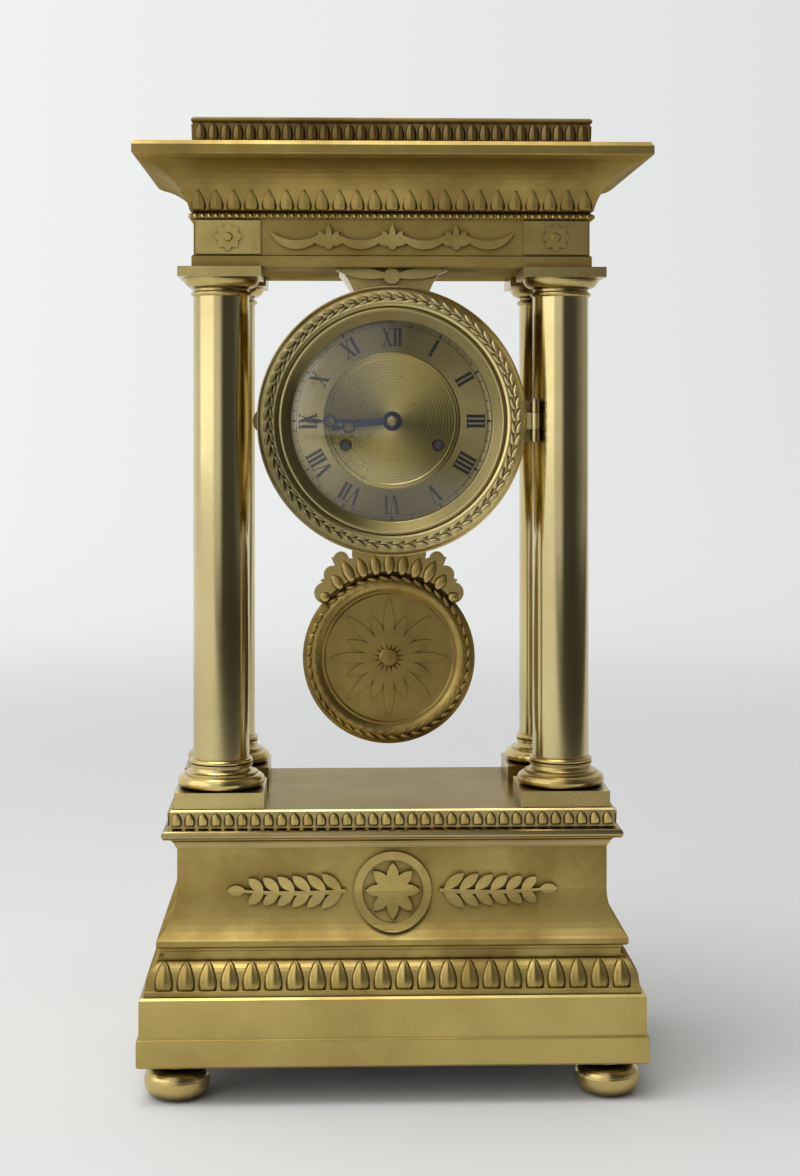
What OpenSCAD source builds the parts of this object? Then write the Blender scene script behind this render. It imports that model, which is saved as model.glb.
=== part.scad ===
// Portico mantel clock. A moulded base on bun feet carries four columns and an entablature.
// A round movement in a drum hangs between the columns, over a swinging ornamental pendulum.
// The front faces -Y, +Z is up and the feet stand on z = 0. All sizes are in millimetres.

/* [Base] */
// Height of the lower plinth
plinth_h = 33.5; // [26:0.5:44]
// Height of the step round the foot of the lower plinth
plinth_step_h = 14; // [8:0.5:18]
// How far that step stands out from the plinth's face
plinth_step = 1.2; // [0.6:0.1:3]
// Wall thickness of the cast base pieces
wall = 5; // [4:0.5:6]
// Ledge inside the plinth that bears on the base plate
plate_ledge = 4; // [3:0.5:6]
// Thickness of the iron plate that closes the base
plate_t = 3; // [2:0.5:5]
// Height of the leaf band between plinth and die
band_h = 22; // [18:0.5:28]
// How far the leaf band's foot stands in from the plinth's faces
band_inset = 3.5; // [2:0.5:5]
// How far the leaf band draws in over its height
band_draw = 8; // [6:0.5:9]
// Height of the die, the tall middle of the base
die_h = 47; // [38:1:60]
// How far the die's faces stand in from the plinth's faces
die_inset = 18.5; // [16:0.5:20]
// How far the die's foot flares out
die_flare = 9.5; // [7:0.5:11]
// Height of that flare
die_flare_h = 29; // [20:1:34]
// Height of the platform under the columns
platform_h = 19; // [14:0.5:26]
// How far the platform's lip stands out from the die
platform_lip = 6.5; // [5:0.5:9]
// How far the platform's upper step stands out from the die
platform_step = 3.5; // [2.5:0.5:4]
// Thickness of the platform's top
platform_t = 6; // [4:0.5:8]

/* [Feet] */
// Height of a bun foot
foot_h = 18.5; // [14:0.5:24]
// Widest diameter of a bun foot
foot_dia = 32; // [24:1:36]
// Diameter of the flat that a foot stands on
foot_pad_dia = 18; // [12:1:20]
// Diameter of the collar at the top of a foot
foot_collar_dia = 22; // [16:1:22]
// Height of that collar
foot_collar_h = 3; // [2:0.5:4]
// How far a foot's centre stands in from the plinth's faces
foot_inset = 18.5; // [17:0.5:24]
// Diameter of the stud that screws a foot to the base plate
foot_stud_dia = 5; // [3:0.5:8]
// Length of that stud above the base plate
foot_stud_l = 5; // [2:0.5:8]

/* [Columns] */
// Diameter of a column shaft
shaft_dia = 28; // [26:0.5:29]
// Clear space between a front column's shaft and the bezel
column_gap = 4; // [2:0.1:6]
// How far the front columns' axes stand behind the drum's front
column_setback = 9; // [8.5:0.5:14]
// Bore of the tubular shaft
shaft_bore = 20; // [16:0.5:22]
// How far a column's axis stands in from the plinth's faces
column_inset = 39; // [38.5:0.5:41]
// Width of the square plinth under a column
column_plinth_w = 44; // [40:0.5:46]
// Height of that square plinth
column_plinth_h = 8; // [5:0.5:10]
// Height of the turned base above the square plinth
column_base_h = 15; // [12:0.5:20]
// Width of a capital's square top
abacus_w = 41; // [38:0.5:42]
// Height of that square top
abacus_h = 5; // [3:0.5:7]
// Height of the turned capital below the square top
capital_h = 9; // [8:0.5:12]
// Depth of the spigots that centre a shaft on its base and capital
spigot_h = 3; // [2:0.5:5]
// Diameter of the tie rod inside each column
rod_dia = 6; // [4:0.5:8]
// Width across the corners of a tie rod's nut
nut_w = 12; // [10:0.5:14]
// Thickness of that nut
nut_h = 5; // [4:0.5:6]

/* [Entablature] */
// Height of the frieze with its architrave
frieze_h = 27; // [22:0.5:36]
// Height of the plain architrave along the frieze's foot
architrave_h = 6; // [4:0.5:8]
// How deep the frieze's field is sunk behind the architrave
frieze_sink = 1; // [0.5:0.1:2]
// Thickness of the frieze's floor
frieze_floor = 5; // [4:0.5:7]
// Height of the bead along the frieze's top
frieze_bead = 3.5; // [2:0.5:5]
// Height of the cornice from its foot to its top
cornice_h = 32; // [26:0.5:40]
// How far the cornice stands out beyond the frieze
cornice_out = 27; // [25:0.5:32]
// Height of the cornice's upright lip
cornice_lip_h = 6.5; // [4:0.5:9]
// Thickness of the cornice's top
cornice_t = 4; // [3:0.5:6]
// Height of the block on top of the cornice
attic_h = 15; // [10:0.5:22]
// How far that block stands out beyond the frieze
attic_out = 0; // [0:0.5:3]
// Width of the saddle that carries the drum, where it meets the frieze
bracket_w = 52; // [40:1:64]
// Width of that saddle where it meets the drum
bracket_low_w = 34; // [26:1:38]
// Depth of that saddle from front to back
bracket_d = 60; // [30:1:70]
// Height of that saddle between the drum and the frieze
bracket_h = 17; // [12:0.5:24]

/* [Drum and dial] */
// Thickness of the drum's wall
drum_wall = 1.5; // [1:0.1:1.6]
// Width of the ring inside the drum that the movement is screwed to
seat_w = 8; // [6:0.5:10]
// Thickness of that ring
seat_ring_t = 3; // [2:0.5:4]
// Free space between the bell's stud and the drum's rear end
rear_room = 1; // [0.5:0.1:6]
// How far the drum's front face lies before the clock's middle
drum_front = 46; // [45:0.5:48]
// Thickness of the drum's flanges
flange_t = 3; // [2.5:0.5:3]
// How far the drum's flanges stand out from its wall
flange_out = 3; // [2:0.5:4]
// How far the front bezel stands out beyond the drum's wall
bezel_over = 8; // [6:0.5:10]
// How far the bezel laps over the dial's edge
sight_lap = 3.8; // [3:0.1:5]
// Depth of the bezel's cast moulding
bezel_t = 9; // [8:0.5:10]
// How high the glass swells above its rim
glass_rise = 7; // [5.5:0.5:8]
// Thickness of the glass
glass_t = 1.6; // [1.2:0.1:2]
// Width of the lip that centres the dial in the drum
lip_w = 3.55; // [3:0.05:4]
// Thickness of the dial plate
dial_t = 1.5; // [1.2:0.1:1.6]
// Diameter of the engine-turned dial centre
centre_dia = 68; // [64:1:70]
// Depth of the recess that the dial centre is set in
centre_sink = 0.9; // [0.6:0.1:1]
// Diameter of the feet behind the dial plate
dial_foot_dia = 3; // [2:0.2:3.6]
// Width of the ledge that the glass lies on
rebate_w = 2.5; // [2:0.1:2.5]
// Width of the slot in the drum for the swinging rod
rod_slot_w = 24; // [20:1:30]
// Depth of that slot from front to back
rod_slot_d = 8; // [6:0.5:12]
// Height of the knuckles of both door hinges, all together
hinge_h = 20; // [16:1:26]
// Diameter of the knuckles of both door hinges
knuckle_dia = 4.4; // [3.8:0.2:4.6]
// Diameter of the pins of both door hinges
pin_dia = 2.2; // [1.8:0.1:2.4]
// Thickness of the rear door's frame
rear_t = 3.2; // [2.8:0.2:4]

/* [Hands] */
// Hour that the hands show
shown_hour = 8; // [1:1:12]
// Minute that the hands show
shown_minute = 45; // [0:1:59]
// Length of the minute hand from the centre
minute_l = 44; // [40:0.5:46]
// Length of the hour hand from the centre
hour_l = 31; // [26:0.5:34]
// Thickness of the hands
hand_t = 0.8; // [0.6:0.1:0.9]
// Width of a hand's blade
hand_w = 2.4; // [1.6:0.1:3]
// Outer diameter of the pierced ring on each hand
hand_ring_dia = 6.4; // [5:0.2:8]

/* [Movement] */
// Width of the plates' rim outside the hammer's arbor
plate_margin = 3.5; // [3:0.1:6]
// Thickness of each plate
movement_t = 2.4; // [2:0.1:2.6]
// Distance between the two plates
plate_gap = 30; // [29.5:0.5:31]
// How far the dial stands before the front plate
motion_room = 8.5; // [8.3:0.1:8.8]
// Diameter of the pillars between the plates
pillar_dia = 6; // [5:0.5:7]
// Sideways distance of each winding square from the dial's centre
winding_x = 23; // [22.6:0.1:23.4]
// Drop of the winding squares below the dial's centre
winding_drop = 12; // [11.6:0.1:12.4]
// Diameter of the winding arbors
winding_dia = 5; // [4:0.2:5.2]
// Diameter of the two spring barrels
barrel_dia = 31; // [28:0.5:31]
// Length of the two spring barrels
barrel_l = 18; // [15:0.5:18]
// Diameter of the thin steel arbors
arbor_dia = 1.7; // [1.4:0.1:1.8]
// Diameter of their pivots in the plates
pivot_dia = 1.2; // [0.8:0.1:1.4]
// Diameter of the centre arbor that carries the minute hand's pipe
centre_arbor_dia = 3; // [2.6:0.1:3.2]
// Outer diameter of the minute hand's pipe
cannon_pipe_dia = 4; // [3.8:0.1:4.2]
// Outer diameter of the hour hand's pipe
hour_pipe_dia = 6; // [5.6:0.1:6.4]
// Diameter of the stud that the minute wheel turns on
stud_dia = 1.6; // [1.2:0.1:1.8]
// Diameter of the screws that hold the movement in the drum
screw_dia = 2; // [1.6:0.1:2.2]
// Height of the anchor's arbor above the dial's centre
anchor_up = 41; // [40.5:0.1:41.5]
// Free space round the rate-setting arbor, above the plates
regulator_gap = 0.9; // [0.6:0.1:2]
// Diameter of the rate-setting arbor
regulator_dia = 1.8; // [1.4:0.1:2]
// Outer diameter of the escape wheel
escape_dia = 19; // [18:0.2:20]
// Outer diameter of the bell
bell_dia = 60; // [56:0.5:62]
// Depth of the bell
bell_h = 17; // [14:0.5:17]
// Thickness of the bell's wall
bell_t = 1.6; // [1.2:0.1:2]
// Distance of the bell's rim behind the rear plate
bell_back = 15.4; // [14:0.1:18]
// Diameter of the stud that carries the bell
bell_stud_dia = 4; // [3:0.2:4.4]
// Radius of the fly's fan
fan_r = 5.5; // [4:0.1:6]
// Length of the fly's fan
fan_l = 10; // [6:0.5:14]

/* [Pendulum] */
// Distance from the suspension down to the middle of the bob
pendulum_l = 164.6; // [160:0.1:168]
// Distance of the pendulum's plane behind the clock's middle
pendulum_y = 10; // [9.5:0.1:10.5]
// Space between the bob and the drum, which the leaf spray fills
crest_room = 19.6; // [17:0.1:26]
// Clear space between the bob and the platform
bob_clear = 21.4; // [10:0.1:40]
// Greatest thickness of the bob
bob_t = 9; // [8:0.5:11]
// Width of the bob's moulded ring
bob_ring_w = 10; // [7:0.5:14]
// Diameter of the pendulum rod
pendulum_rod_dia = 3; // [2.4:0.2:3.6]
// Greatest swing to each side, in degrees
swing = 3.5; // [2:0.5:4]
// Length of the crutch that drives the rod
crutch_l = 48; // [40:1:52]
// Height of the leaf spray above the bob's rim
crest_h = 16; // [10:1:17]

/* [Ornaments] */
// Thickness of the cast ornaments on the base and frieze
ornament_t = 2.2; // [1.5:0.1:3]
// Diameter of the wreath in the middle of the base
wreath_dia = 38; // [30:1:40]
// Length of the leaf sprays beside the wreath
spray_l = 58; // [44:1:62]
// Width of the panels over the columns
panel_w = 32; // [26:1:34]

/* [Fits] */
// Running clearance round pivots, arbors and hinge pins
running = 0.06; // [0.04:0.01:0.09]
// Clearance between fixed pieces that slide together
seat = 0.15; // [0.1:0.05:0.2]
// Free space between faces that move past each other
free = 0.3; // [0.2:0.05:0.4]

/* [Hidden] */
$fn = 96;
past = 1; // how far a cut runs past the faces it opens

// A toothed wheel is [teeth, module]; a pitch radius is half of teeth times module
great_m = 0.42;
middle_m = 0.4;
centre_m = 0.36;
third_m = 0.33;
motion_m = 0.42;
pin_m = 0.28;
great = [84, great_m];
great_pinion = [12, great_m];
middle = [78, middle_m];
centre_pinion = [12, middle_m];
centre = [84, centre_m];
third_pinion = [7, centre_m];
third = [86, third_m];
escape_pinion = [7, third_m];
cannon = [12, motion_m];
minute = [36, motion_m];
hour_m = (pitch(cannon) + pitch(minute)) * 2 / (10 + 40);
minute_pinion = [10, hour_m];
hour = [40, hour_m];
strike_set = [72, third_m];
pin_pinion = [8, third_m];
pin_set = [60, pin_m];
fly_pinion = [8, pin_m];
addendum = 0.62; // tooth height above the pitch circle, in modules
dedendum = 1.0; // tooth depth below the pitch circle, in modules
escape_teeth = 30;
pallet_span = 7.5; // teeth between the two pallets

function pitch(g) = g[0] * g[1] / 2;
function tip_r(g) = pitch(g) + addendum * g[1];
function root_r(g) = pitch(g) - dedendum * g[1];
// the point at distance ra from a and rb from b, on the left of the way from a to b
function meeting(a, b, ra, rb) = let (
    d = norm(b - a), u = (b - a) / d,
    along = (ra * ra - rb * rb + d * d) / (2 * d), up = sqrt(ra * ra - along * along)
) a + u * along + [-u[1], u[0]] * up;
function bearing(a, b) = atan2(b[1] - a[1], b[0] - a[0]);
// turn of wheel b that meshes it with wheel a, whose own turn is phase
function meshed(a, b, at_a, at_b, phase) = let (
    way = bearing(at_a, at_b), f = (way - phase) * a[0] / 360
) way + 180 + (f - floor(f) + 0.5) * 360 / b[0];

// Places of the arbors on the plates, [x, height] from the dial's centre
at_centre = [0, 0];
at_going = [winding_x, -winding_drop];
at_strike = [-winding_x, -winding_drop];
at_middle = meeting(at_centre, at_going, pitch(middle) + pitch(centre_pinion),
                    pitch(great) + pitch(great_pinion));
at_anchor = [0, anchor_up];
escape_reach = escape_dia / 2 / cos(pallet_span / escape_teeth * 180);
at_escape = [0, anchor_up - escape_reach];
at_third = meeting(at_centre, at_escape, pitch(centre) + pitch(third_pinion),
                   pitch(third) + pitch(escape_pinion));
at_minute = [0, pitch(cannon) + pitch(minute)];
count_way = -37; // bearing of the count wheel's arbor from the strike barrel
at_count = at_strike + (pitch(great) + pitch(great_pinion)) * circle_point(1, count_way);
pin_way = -5; // bearing of the pin wheel from there
at_pin = at_count + (pitch(strike_set) + pitch(pin_pinion)) * circle_point(1, pin_way);
fly_way = -80; // bearing of the fly from the pin wheel
at_fly = at_pin + (pitch(pin_set) + pitch(fly_pinion)) * circle_point(1, fly_way);
at_hammer = circle_point(42.5, -55.5);
plate_r = norm(at_hammer) + plate_margin;
regulator_up = plate_r + regulator_gap + regulator_dia / 2;
at_regulator = [0, regulator_up];
pillar_places = [[-30, 26], [30, 26], [-17, -37], [17, -37]];
dial_foot_places = [[-26, 18], [26, 18], [0, -34]];
thin_arbors = [at_middle, at_third, at_escape, at_count, at_pin, at_fly, at_hammer];
ear_angles = [0, 125, 235]; // bearings of the front plate's three ears
rear_pivot_dia = winding_dia * 0.6;
shake = 0.1; // end play of an arbor between the plates

// The drum round the movement, with the dial and the bezel that fit it
seat_ring_r = regulator_up + regulator_dia / 2 + 0.8;
drum_bore_r = seat_ring_r + seat_w;
drum_r = drum_bore_r + drum_wall;
flange_r = drum_r + flange_out;
lip_r = drum_bore_r - lip_w;
lip_t = flange_t / 2;
ear_r = lip_r - seat;
screw_r = (seat_ring_r + ear_r) / 2;
dial_r = lip_r - seat;
sight_r = dial_r - sight_lap;
bezel_r = drum_r + bezel_over;

// Depths of the movement, from the dial to the rear, along Y
dial_y0 = -drum_front + lip_t + free;
dial_y1 = dial_y0 + dial_t;
front_y0 = dial_y1 + motion_room;
front_y1 = front_y0 + movement_t;
back_y0 = front_y1 + plate_gap;
back_y1 = back_y0 + movement_t;
bell_y0 = back_y1 + bell_back;
bell_stud_y = bell_y0 + bell_h + 3;
drum_rear = bell_stud_y + rear_room;

// Heights of the storeys, from the ground up; the pendulum and the drum set the columns' height
bob_r = pendulum_l - anchor_up - drum_r - crest_room;
plinth_top = foot_h + plinth_h;
band_top = plinth_top + band_h;
die_top = band_top + die_h;
platform_top = die_top + platform_h;
bob_z = platform_top + bob_clear + bob_r;
axis_z = bob_z + pendulum_l;
dial_z = axis_z - anchor_up;
columns_top = dial_z + drum_r + bracket_h;
frieze_top = columns_top + frieze_h;
cornice_top = frieze_top + cornice_h;
shaft_z0 = platform_top + column_plinth_h + column_base_h;
shaft_z1 = columns_top - abacus_h - capital_h;

// Plan sizes of the storeys; the bezel sets how far apart the columns stand
column_x = bezel_r + column_gap + shaft_dia / 2;
column_y = drum_front - column_setback;
plinth_w = 2 * (column_x + column_inset);
plinth_d = 2 * (column_y + column_inset);
die_w = plinth_w - 2 * die_inset;
die_d = plinth_d - 2 * die_inset;
frieze_w = 2 * column_x + shaft_dia;
frieze_d = 2 * column_y + shaft_dia;
attic_w = frieze_w + 2 * attic_out;
attic_d = frieze_d + 2 * attic_out;
corners = [[-1, -1], [1, -1], [-1, 1], [1, 1]];
rod_hole_r = rod_dia / 2 + seat;

// Turns that bring all the wheels into mesh
middle_phase = meshed(great, great_pinion, at_going, at_middle, 0);
centre_phase = meshed(middle, centre_pinion, at_middle, at_centre, middle_phase);
third_phase = meshed(centre, third_pinion, at_centre, at_third, centre_phase);
escape_phase = meshed(third, escape_pinion, at_third, at_escape, third_phase);
minute_phase = meshed(cannon, minute, at_centre, at_minute, 0);
hour_phase = meshed(minute_pinion, hour, at_minute, at_centre, minute_phase);
count_phase = meshed(great, great_pinion, at_strike, at_count, 0);
pin_phase = meshed(strike_set, pin_pinion, at_count, at_pin, count_phase);
fly_phase = meshed(pin_set, fly_pinion, at_pin, at_fly, pin_phase);

// Planes of the wheels between the plates, measured forward from the back plate
barrel_y0 = front_y1 + 2;
barrel_y1 = barrel_y0 + barrel_l;
great_t = 1.8;
middle_y0 = barrel_y1 + great_t + 1.2;
wheel_t = 1.3;
centre_y0 = back_y0 - 3.6;
third_y0 = front_y1 + 6.6;
escape_y0 = centre_y0 - 11.4;
cannon_y = front_y0 - 2.5;
hour_wheel_y = front_y0 - 5.5;
fly_y0 = barrel_y0 + 4;
crutch_y = back_y1 + 2.8;

// The bell, behind the back plate, and the hammer's head beside it
at_bell = [0, -2];
bell_post_x = 12;
hammer_head = [11, 25]; // from the hammer's arbor
hammer_y = bell_y0 + 1;
pin_ring_r = root_r(pin_set) - 1.3;
lifter_dia = 0.9; // of the pins that lift the hammer
hammer_tail_y = centre_y0 + wheel_t + 0.4;

// The pendulum's suspension, and the doors
spring_l = 9;
spring_t = 0.3;
hook_h = 5;
bezel_y1 = -drum_front - free;
bezel_y0 = bezel_y1 - bezel_t;
rim_y = bezel_y1 - glass_t - 0.4;
hinge_x = bezel_r + 4;
hinge_y = -drum_front - 1.6;
rear_hinge_x = flange_r + 2.6;
rear_y0 = drum_rear + free;
rear_hinge_y = drum_rear + 1.6;
outer_h = hinge_h * 0.28;
strap_t = 1.6; // thickness of the hinge straps on the drum
hour_y0 = dial_y0 - 2;
minute_y0 = hour_y0 - 1.4;
minute_angle = 90 - 6 * shown_minute;
hour_angle = 90 - 30 * shown_hour - shown_minute / 2;

// Colours
gilt = [0.83, 0.64, 0.25];
matte_gilt = [0.72, 0.54, 0.22];
brass = [0.78, 0.66, 0.36];
steel = [0.62, 0.63, 0.65];
blued = [0.09, 0.11, 0.25];
silvered = [0.78, 0.77, 0.72];
glass = [0.8, 0.88, 0.9, 0.35];

// Points on the arc from a to b whose middle stands off the chord by rise, to the right of the way
function bow(a, b, rise, n = 8) = let (
    chord = norm(b - a), u = (b - a) / chord, side = [u[1], -u[0]] * sign(rise), s = abs(rise),
    r = (chord * chord / 4 + s * s) / (2 * s), half = 2 * atan(2 * s / chord),
    middle = (a + b) / 2 + side * (s - r)
) [for (i = [0:n]) let (t = half * (2 * i / n - 1)) middle + r * (side * cos(t) + u * sin(t))];
function backwards(points) = [for (i = [len(points) - 1:-1:0]) points[i]];
function flipped(points) = [for (p = backwards(points)) [-p[0], p[1]]];
function circle_point(r, a) = [r * cos(a), r * sin(a)];
function arc(r, a0, a1, n = 8) = [for (i = [0:n]) circle_point(r, a0 + (a1 - a0) * i / n)];

module block(w, d, z0, z1) translate([-w / 2, -d / 2, z0]) cube([w, d, z1 - z0]);
module rod_z(r, z0, z1) translate([0, 0, z0]) cylinder(r = r, h = z1 - z0);
// A flat shape drawn in X and height, from y0 to y1
module along_y(y0, y1) translate([0, y1, 0]) rotate([90, 0, 0]) linear_extrude(y1 - y0) children();
// The same, with the drawing centred on a place of the movement
module on_dial(y0, y1, at = [0, 0]) translate([at[0], 0, dial_z + at[1]]) along_y(y0, y1) children();
module rod_y(r, y0, y1, at = [0, 0]) translate([at[0], y1, dial_z + at[1]]) rotate([90, 0, 0])
    cylinder(r = r, h = y1 - y0);
// A turned piece about an axis along Y; points are [radius, y]
module turned_y(points, at = [0, 0]) translate([at[0], 0, dial_z + at[1]]) rotate([90, 0, 0])
    rotate_extrude() polygon([for (p = points) [p[0], -p[1]]]);
module at_corners(x, y) for (c = corners) translate([c[0] * x, c[1] * y, 0]) children();

// A block with one moulding run round its four sides and mitred at the corners;
// outline is [stand-off, height] from the bottom up, measured from a rectangle w by d
module moulded_block(w, d, outline) {
    reach = w + d;
    across = [for (p = outline) [w / 2 + p[0], p[1]]];
    deep = [for (p = outline) [d / 2 + p[0], p[1]]];
    intersection() {
        rotate([90, 0, 0]) linear_extrude(reach, center = true) polygon(concat(across, flipped(across)));
        rotate([90, 0, 90]) linear_extrude(reach, center = true) polygon(concat(deep, flipped(deep)));
    }
}

// A leaf that points along +X from the origin, between two arcs
module leaf(length, width) polygon(concat(
    bow([0, 0], [length, 0], width / 2, 6), bow([length, 0], [0, 0], width / 2, 6)));

// A rosette of petals round a raised eye, standing on a flat face at y0 and facing -Y
module rosette(r, petals, t, y0) {
    along_y(y0 - t / 2, y0) for (i = [0:petals - 1]) rotate(i * 360 / petals) leaf(r, r * 0.62);
    rotate([90, 0, 0]) translate([0, 0, -y0]) cylinder(r1 = r * 0.42, r2 = r * 0.26, h = t);
}

module feet() color(gilt) at_corners(plinth_w / 2 - foot_inset, plinth_d / 2 - foot_inset) {
    neck_z = foot_h - foot_collar_h;
    neck_r = foot_collar_dia / 2 - 1.5;
    belly_z = neck_z * 0.5;
    union() {
        rotate_extrude() polygon(concat(
            [[0, 0]], bow([foot_pad_dia / 2, 0], [foot_dia / 2, belly_z], 2),
            bow([foot_dia / 2, belly_z + 0.5], [neck_r, neck_z], 2.2),
            [[foot_collar_dia / 2, neck_z + 0.8], [foot_collar_dia / 2, foot_h], [0, foot_h]]));
        rod_z(foot_stud_dia / 2, foot_h - past, foot_h + plate_t + foot_stud_l);
    }
}

module base_plate() color(steel) difference() {
    inside = 2 * (wall + seat);
    block(plinth_w - inside, plinth_d - inside, foot_h, foot_h + plate_t);
    at_corners(column_x, column_y) rod_z(rod_hole_r, foot_h - past, foot_h + plate_t + past);
    at_corners(plinth_w / 2 - foot_inset, plinth_d / 2 - foot_inset)
        rod_z(foot_stud_dia / 2 + running, foot_h - past, foot_h + plate_t + past);
}

module lower_plinth() color(gilt) difference() {
    step_z = foot_h + plinth_step_h;
    cavity = 2 * (wall + plate_ledge);
    moulded_block(plinth_w, plinth_d, concat(
        [[-1, foot_h], [0, foot_h + 1], [0, step_z - 1]],
        bow([-0.2, step_z - 0.6], [-plinth_step, step_z], -0.3, 3),
        [[-plinth_step, plinth_top - 1], [-plinth_step - 1, plinth_top]]));
    block(plinth_w - 2 * wall, plinth_d - 2 * wall, foot_h - past, foot_h + plate_t);
    block(plinth_w - cavity, plinth_d - cavity, foot_h, plinth_top + past);
}

module leaf_band() color(matte_gilt) difference() {
    top_in = band_inset + band_draw;
    cavity = 2 * (top_in + wall);
    moulded_block(plinth_w - 2 * band_inset, plinth_d - 2 * band_inset, concat(
        [[0, plinth_top], [0, plinth_top + 2.5]],
        bow([-0.8, plinth_top + 3], [-band_draw + 1, band_top - 6.5], 1.8),
        [[-band_draw - 1, band_top - 6], [-band_draw - 1, band_top - 2], [-band_draw, band_top - 1.5],
         [-band_draw, band_top]]));
    block(plinth_w - cavity, plinth_d - cavity, plinth_top - past, band_top + past);
}

// Outline of the die, moved outward by o
function die_outline(o) = concat(
    [[die_flare - 1 + o, band_top], [die_flare + o, band_top + 1], [die_flare + o, band_top + 3.5],
     [die_flare - 1 + o, band_top + 4.5]],
    bow([die_flare - 1.4 + o, band_top + 5], [o, band_top + die_flare_h], -2.6), [[o, die_top]]);

module base_die() color(gilt) difference() {
    moulded_block(die_w, die_d, die_outline(0));
    block(die_w - 2 * wall, die_d - 2 * wall, band_top - past, die_top + past);
}

// A wreath with a rosette between two leafy sprays, all lying on the die's curved front
module base_ornaments() color(matte_gilt) difference() {
    z = die_top - wreath_dia / 2 - 2;
    stem_x = wreath_dia / 2 + 4;
    pairs = 6;
    intersection() {
        translate([0, 0, z]) along_y(-plinth_d / 2, -die_d / 4) {
            difference() {
                circle(d = wreath_dia);
                circle(d = wreath_dia - 8);
            }
            for (i = [0:7]) rotate(45 * i) leaf(wreath_dia / 2 - 5.5, 6);
            for (side = [0, 1]) mirror([side, 0]) translate([stem_x, 0]) {
                polygon(concat(bow([0, -1], [spray_l - 4, 0], 1.6), bow([spray_l - 4, 1], [0, 0.8], -1)));
                for (i = [0:pairs - 1], up = [-1, 1]) translate([2 + i * (spray_l - 12) / pairs, 0])
                    rotate(up * 40) leaf(13 - i * 0.7, 5);
                translate([spray_l - 9, 0.4]) leaf(9, 5);
            }
        }
        moulded_block(die_w, die_d, die_outline(ornament_t));
    }
    moulded_block(die_w, die_d, die_outline(0));
}

module platform() color(gilt) difference() {
    moulded_block(die_w, die_d, concat(
        [[0.5, die_top], [0.5, die_top + 1]],
        bow([1, die_top + 1], [platform_lip, die_top + 5], -1.4, 6),
        bow([platform_lip, die_top + 5.4], [platform_lip - 1.4, die_top + 9.4], 1.5, 6),
        [[platform_step, die_top + 10.2], [platform_step, platform_top - 0.8],
         [platform_step - 0.8, platform_top]]));
    block(die_w - 4 * wall, die_d - 4 * wall, die_top - past, platform_top - platform_t);
    at_corners(column_x, column_y) rod_z(rod_hole_r, die_top, platform_top + past);
}

// Square plinth, large torus, hollow and small torus, with a spigot up into the shaft
module column_base() {
    z = platform_top + column_plinth_h;
    r = shaft_dia / 2;
    torus_r = column_plinth_w / 2 - 2.2;
    big = column_base_h * 0.42;
    small = column_base_h * 0.72;
    union() {
        block(column_plinth_w, column_plinth_w, platform_top, z);
        rotate_extrude() polygon(concat(
            [[0, z - past], [torus_r - 1, z - past]],
            bow([torus_r - 1, z], [torus_r - 1, z + big], big / 2 - 0.2),
            [[torus_r - 1.6, z + big + 0.2], [torus_r - 1.6, z + big + 1.2]],
            bow([torus_r - 2, z + big + 1.2], [r + 1.2, z + small], -1.1, 6),
            [[r + 1.6, z + small], [r + 1.6, z + small + 0.8]],
            bow([r + 0.6, z + small + 0.8], [r + 0.6, z + column_base_h - 0.8], 1.1, 6),
            [[r, z + column_base_h - 0.6], [r, shaft_z0], [shaft_bore / 2 - seat, shaft_z0],
             [shaft_bore / 2 - seat, shaft_z0 + spigot_h], [0, shaft_z0 + spigot_h]]));
    }
}

module column_bases() color(gilt) at_corners(column_x, column_y) difference() {
    column_base();
    rod_z(rod_hole_r, platform_top - past, shaft_z0 + spigot_h + past);
}

module shaft(c) color(gilt) translate([c[0] * column_x, c[1] * column_y, 0]) difference() {
    rod_z(shaft_dia / 2, shaft_z0, shaft_z1);
    rod_z(shaft_bore / 2, shaft_z0 - past, shaft_z1 + past);
}

// Astragal, neck, swelling echinus and square abacus, with a spigot down into the shaft
module capitals() color(gilt) at_corners(column_x, column_y) difference() {
    r = shaft_dia / 2;
    neck = shaft_z1 + capital_h * 0.42;
    echinus_r = abacus_w / 2 - 1.5;
    abacus_z = columns_top - abacus_h;
    union() {
        block(abacus_w, abacus_w, abacus_z, columns_top);
        rotate_extrude() polygon(concat(
            [[0, shaft_z1 - spigot_h], [shaft_bore / 2 - seat, shaft_z1 - spigot_h],
             [shaft_bore / 2 - seat, shaft_z1], [r, shaft_z1]],
            bow([r + 0.3, shaft_z1 + 0.2], [r + 0.3, shaft_z1 + 2.4], 1, 6),
            [[r - 0.2, shaft_z1 + 2.6], [r - 0.2, neck]],
            bow([r + 0.4, neck + 0.3], [echinus_r, abacus_z], 1.2),
            [[echinus_r, abacus_z + past], [0, abacus_z + past]]));
    }
    rod_z(rod_hole_r, shaft_z1 - spigot_h - past, columns_top + past);
}

module tie_rods() color(steel) at_corners(column_x, column_y)
    rod_z(rod_dia / 2, foot_h - nut_h - 1, columns_top + frieze_floor + nut_h + 1);

module tie_nuts() color(steel) at_corners(column_x, column_y)
    for (z = [foot_h - nut_h, columns_top + frieze_floor]) difference() {
        translate([0, 0, z]) cylinder(d = nut_w, h = nut_h, $fn = 6);
        rod_z(rod_dia / 2 + running, z - past, z + nut_h + past);
    }

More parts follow.
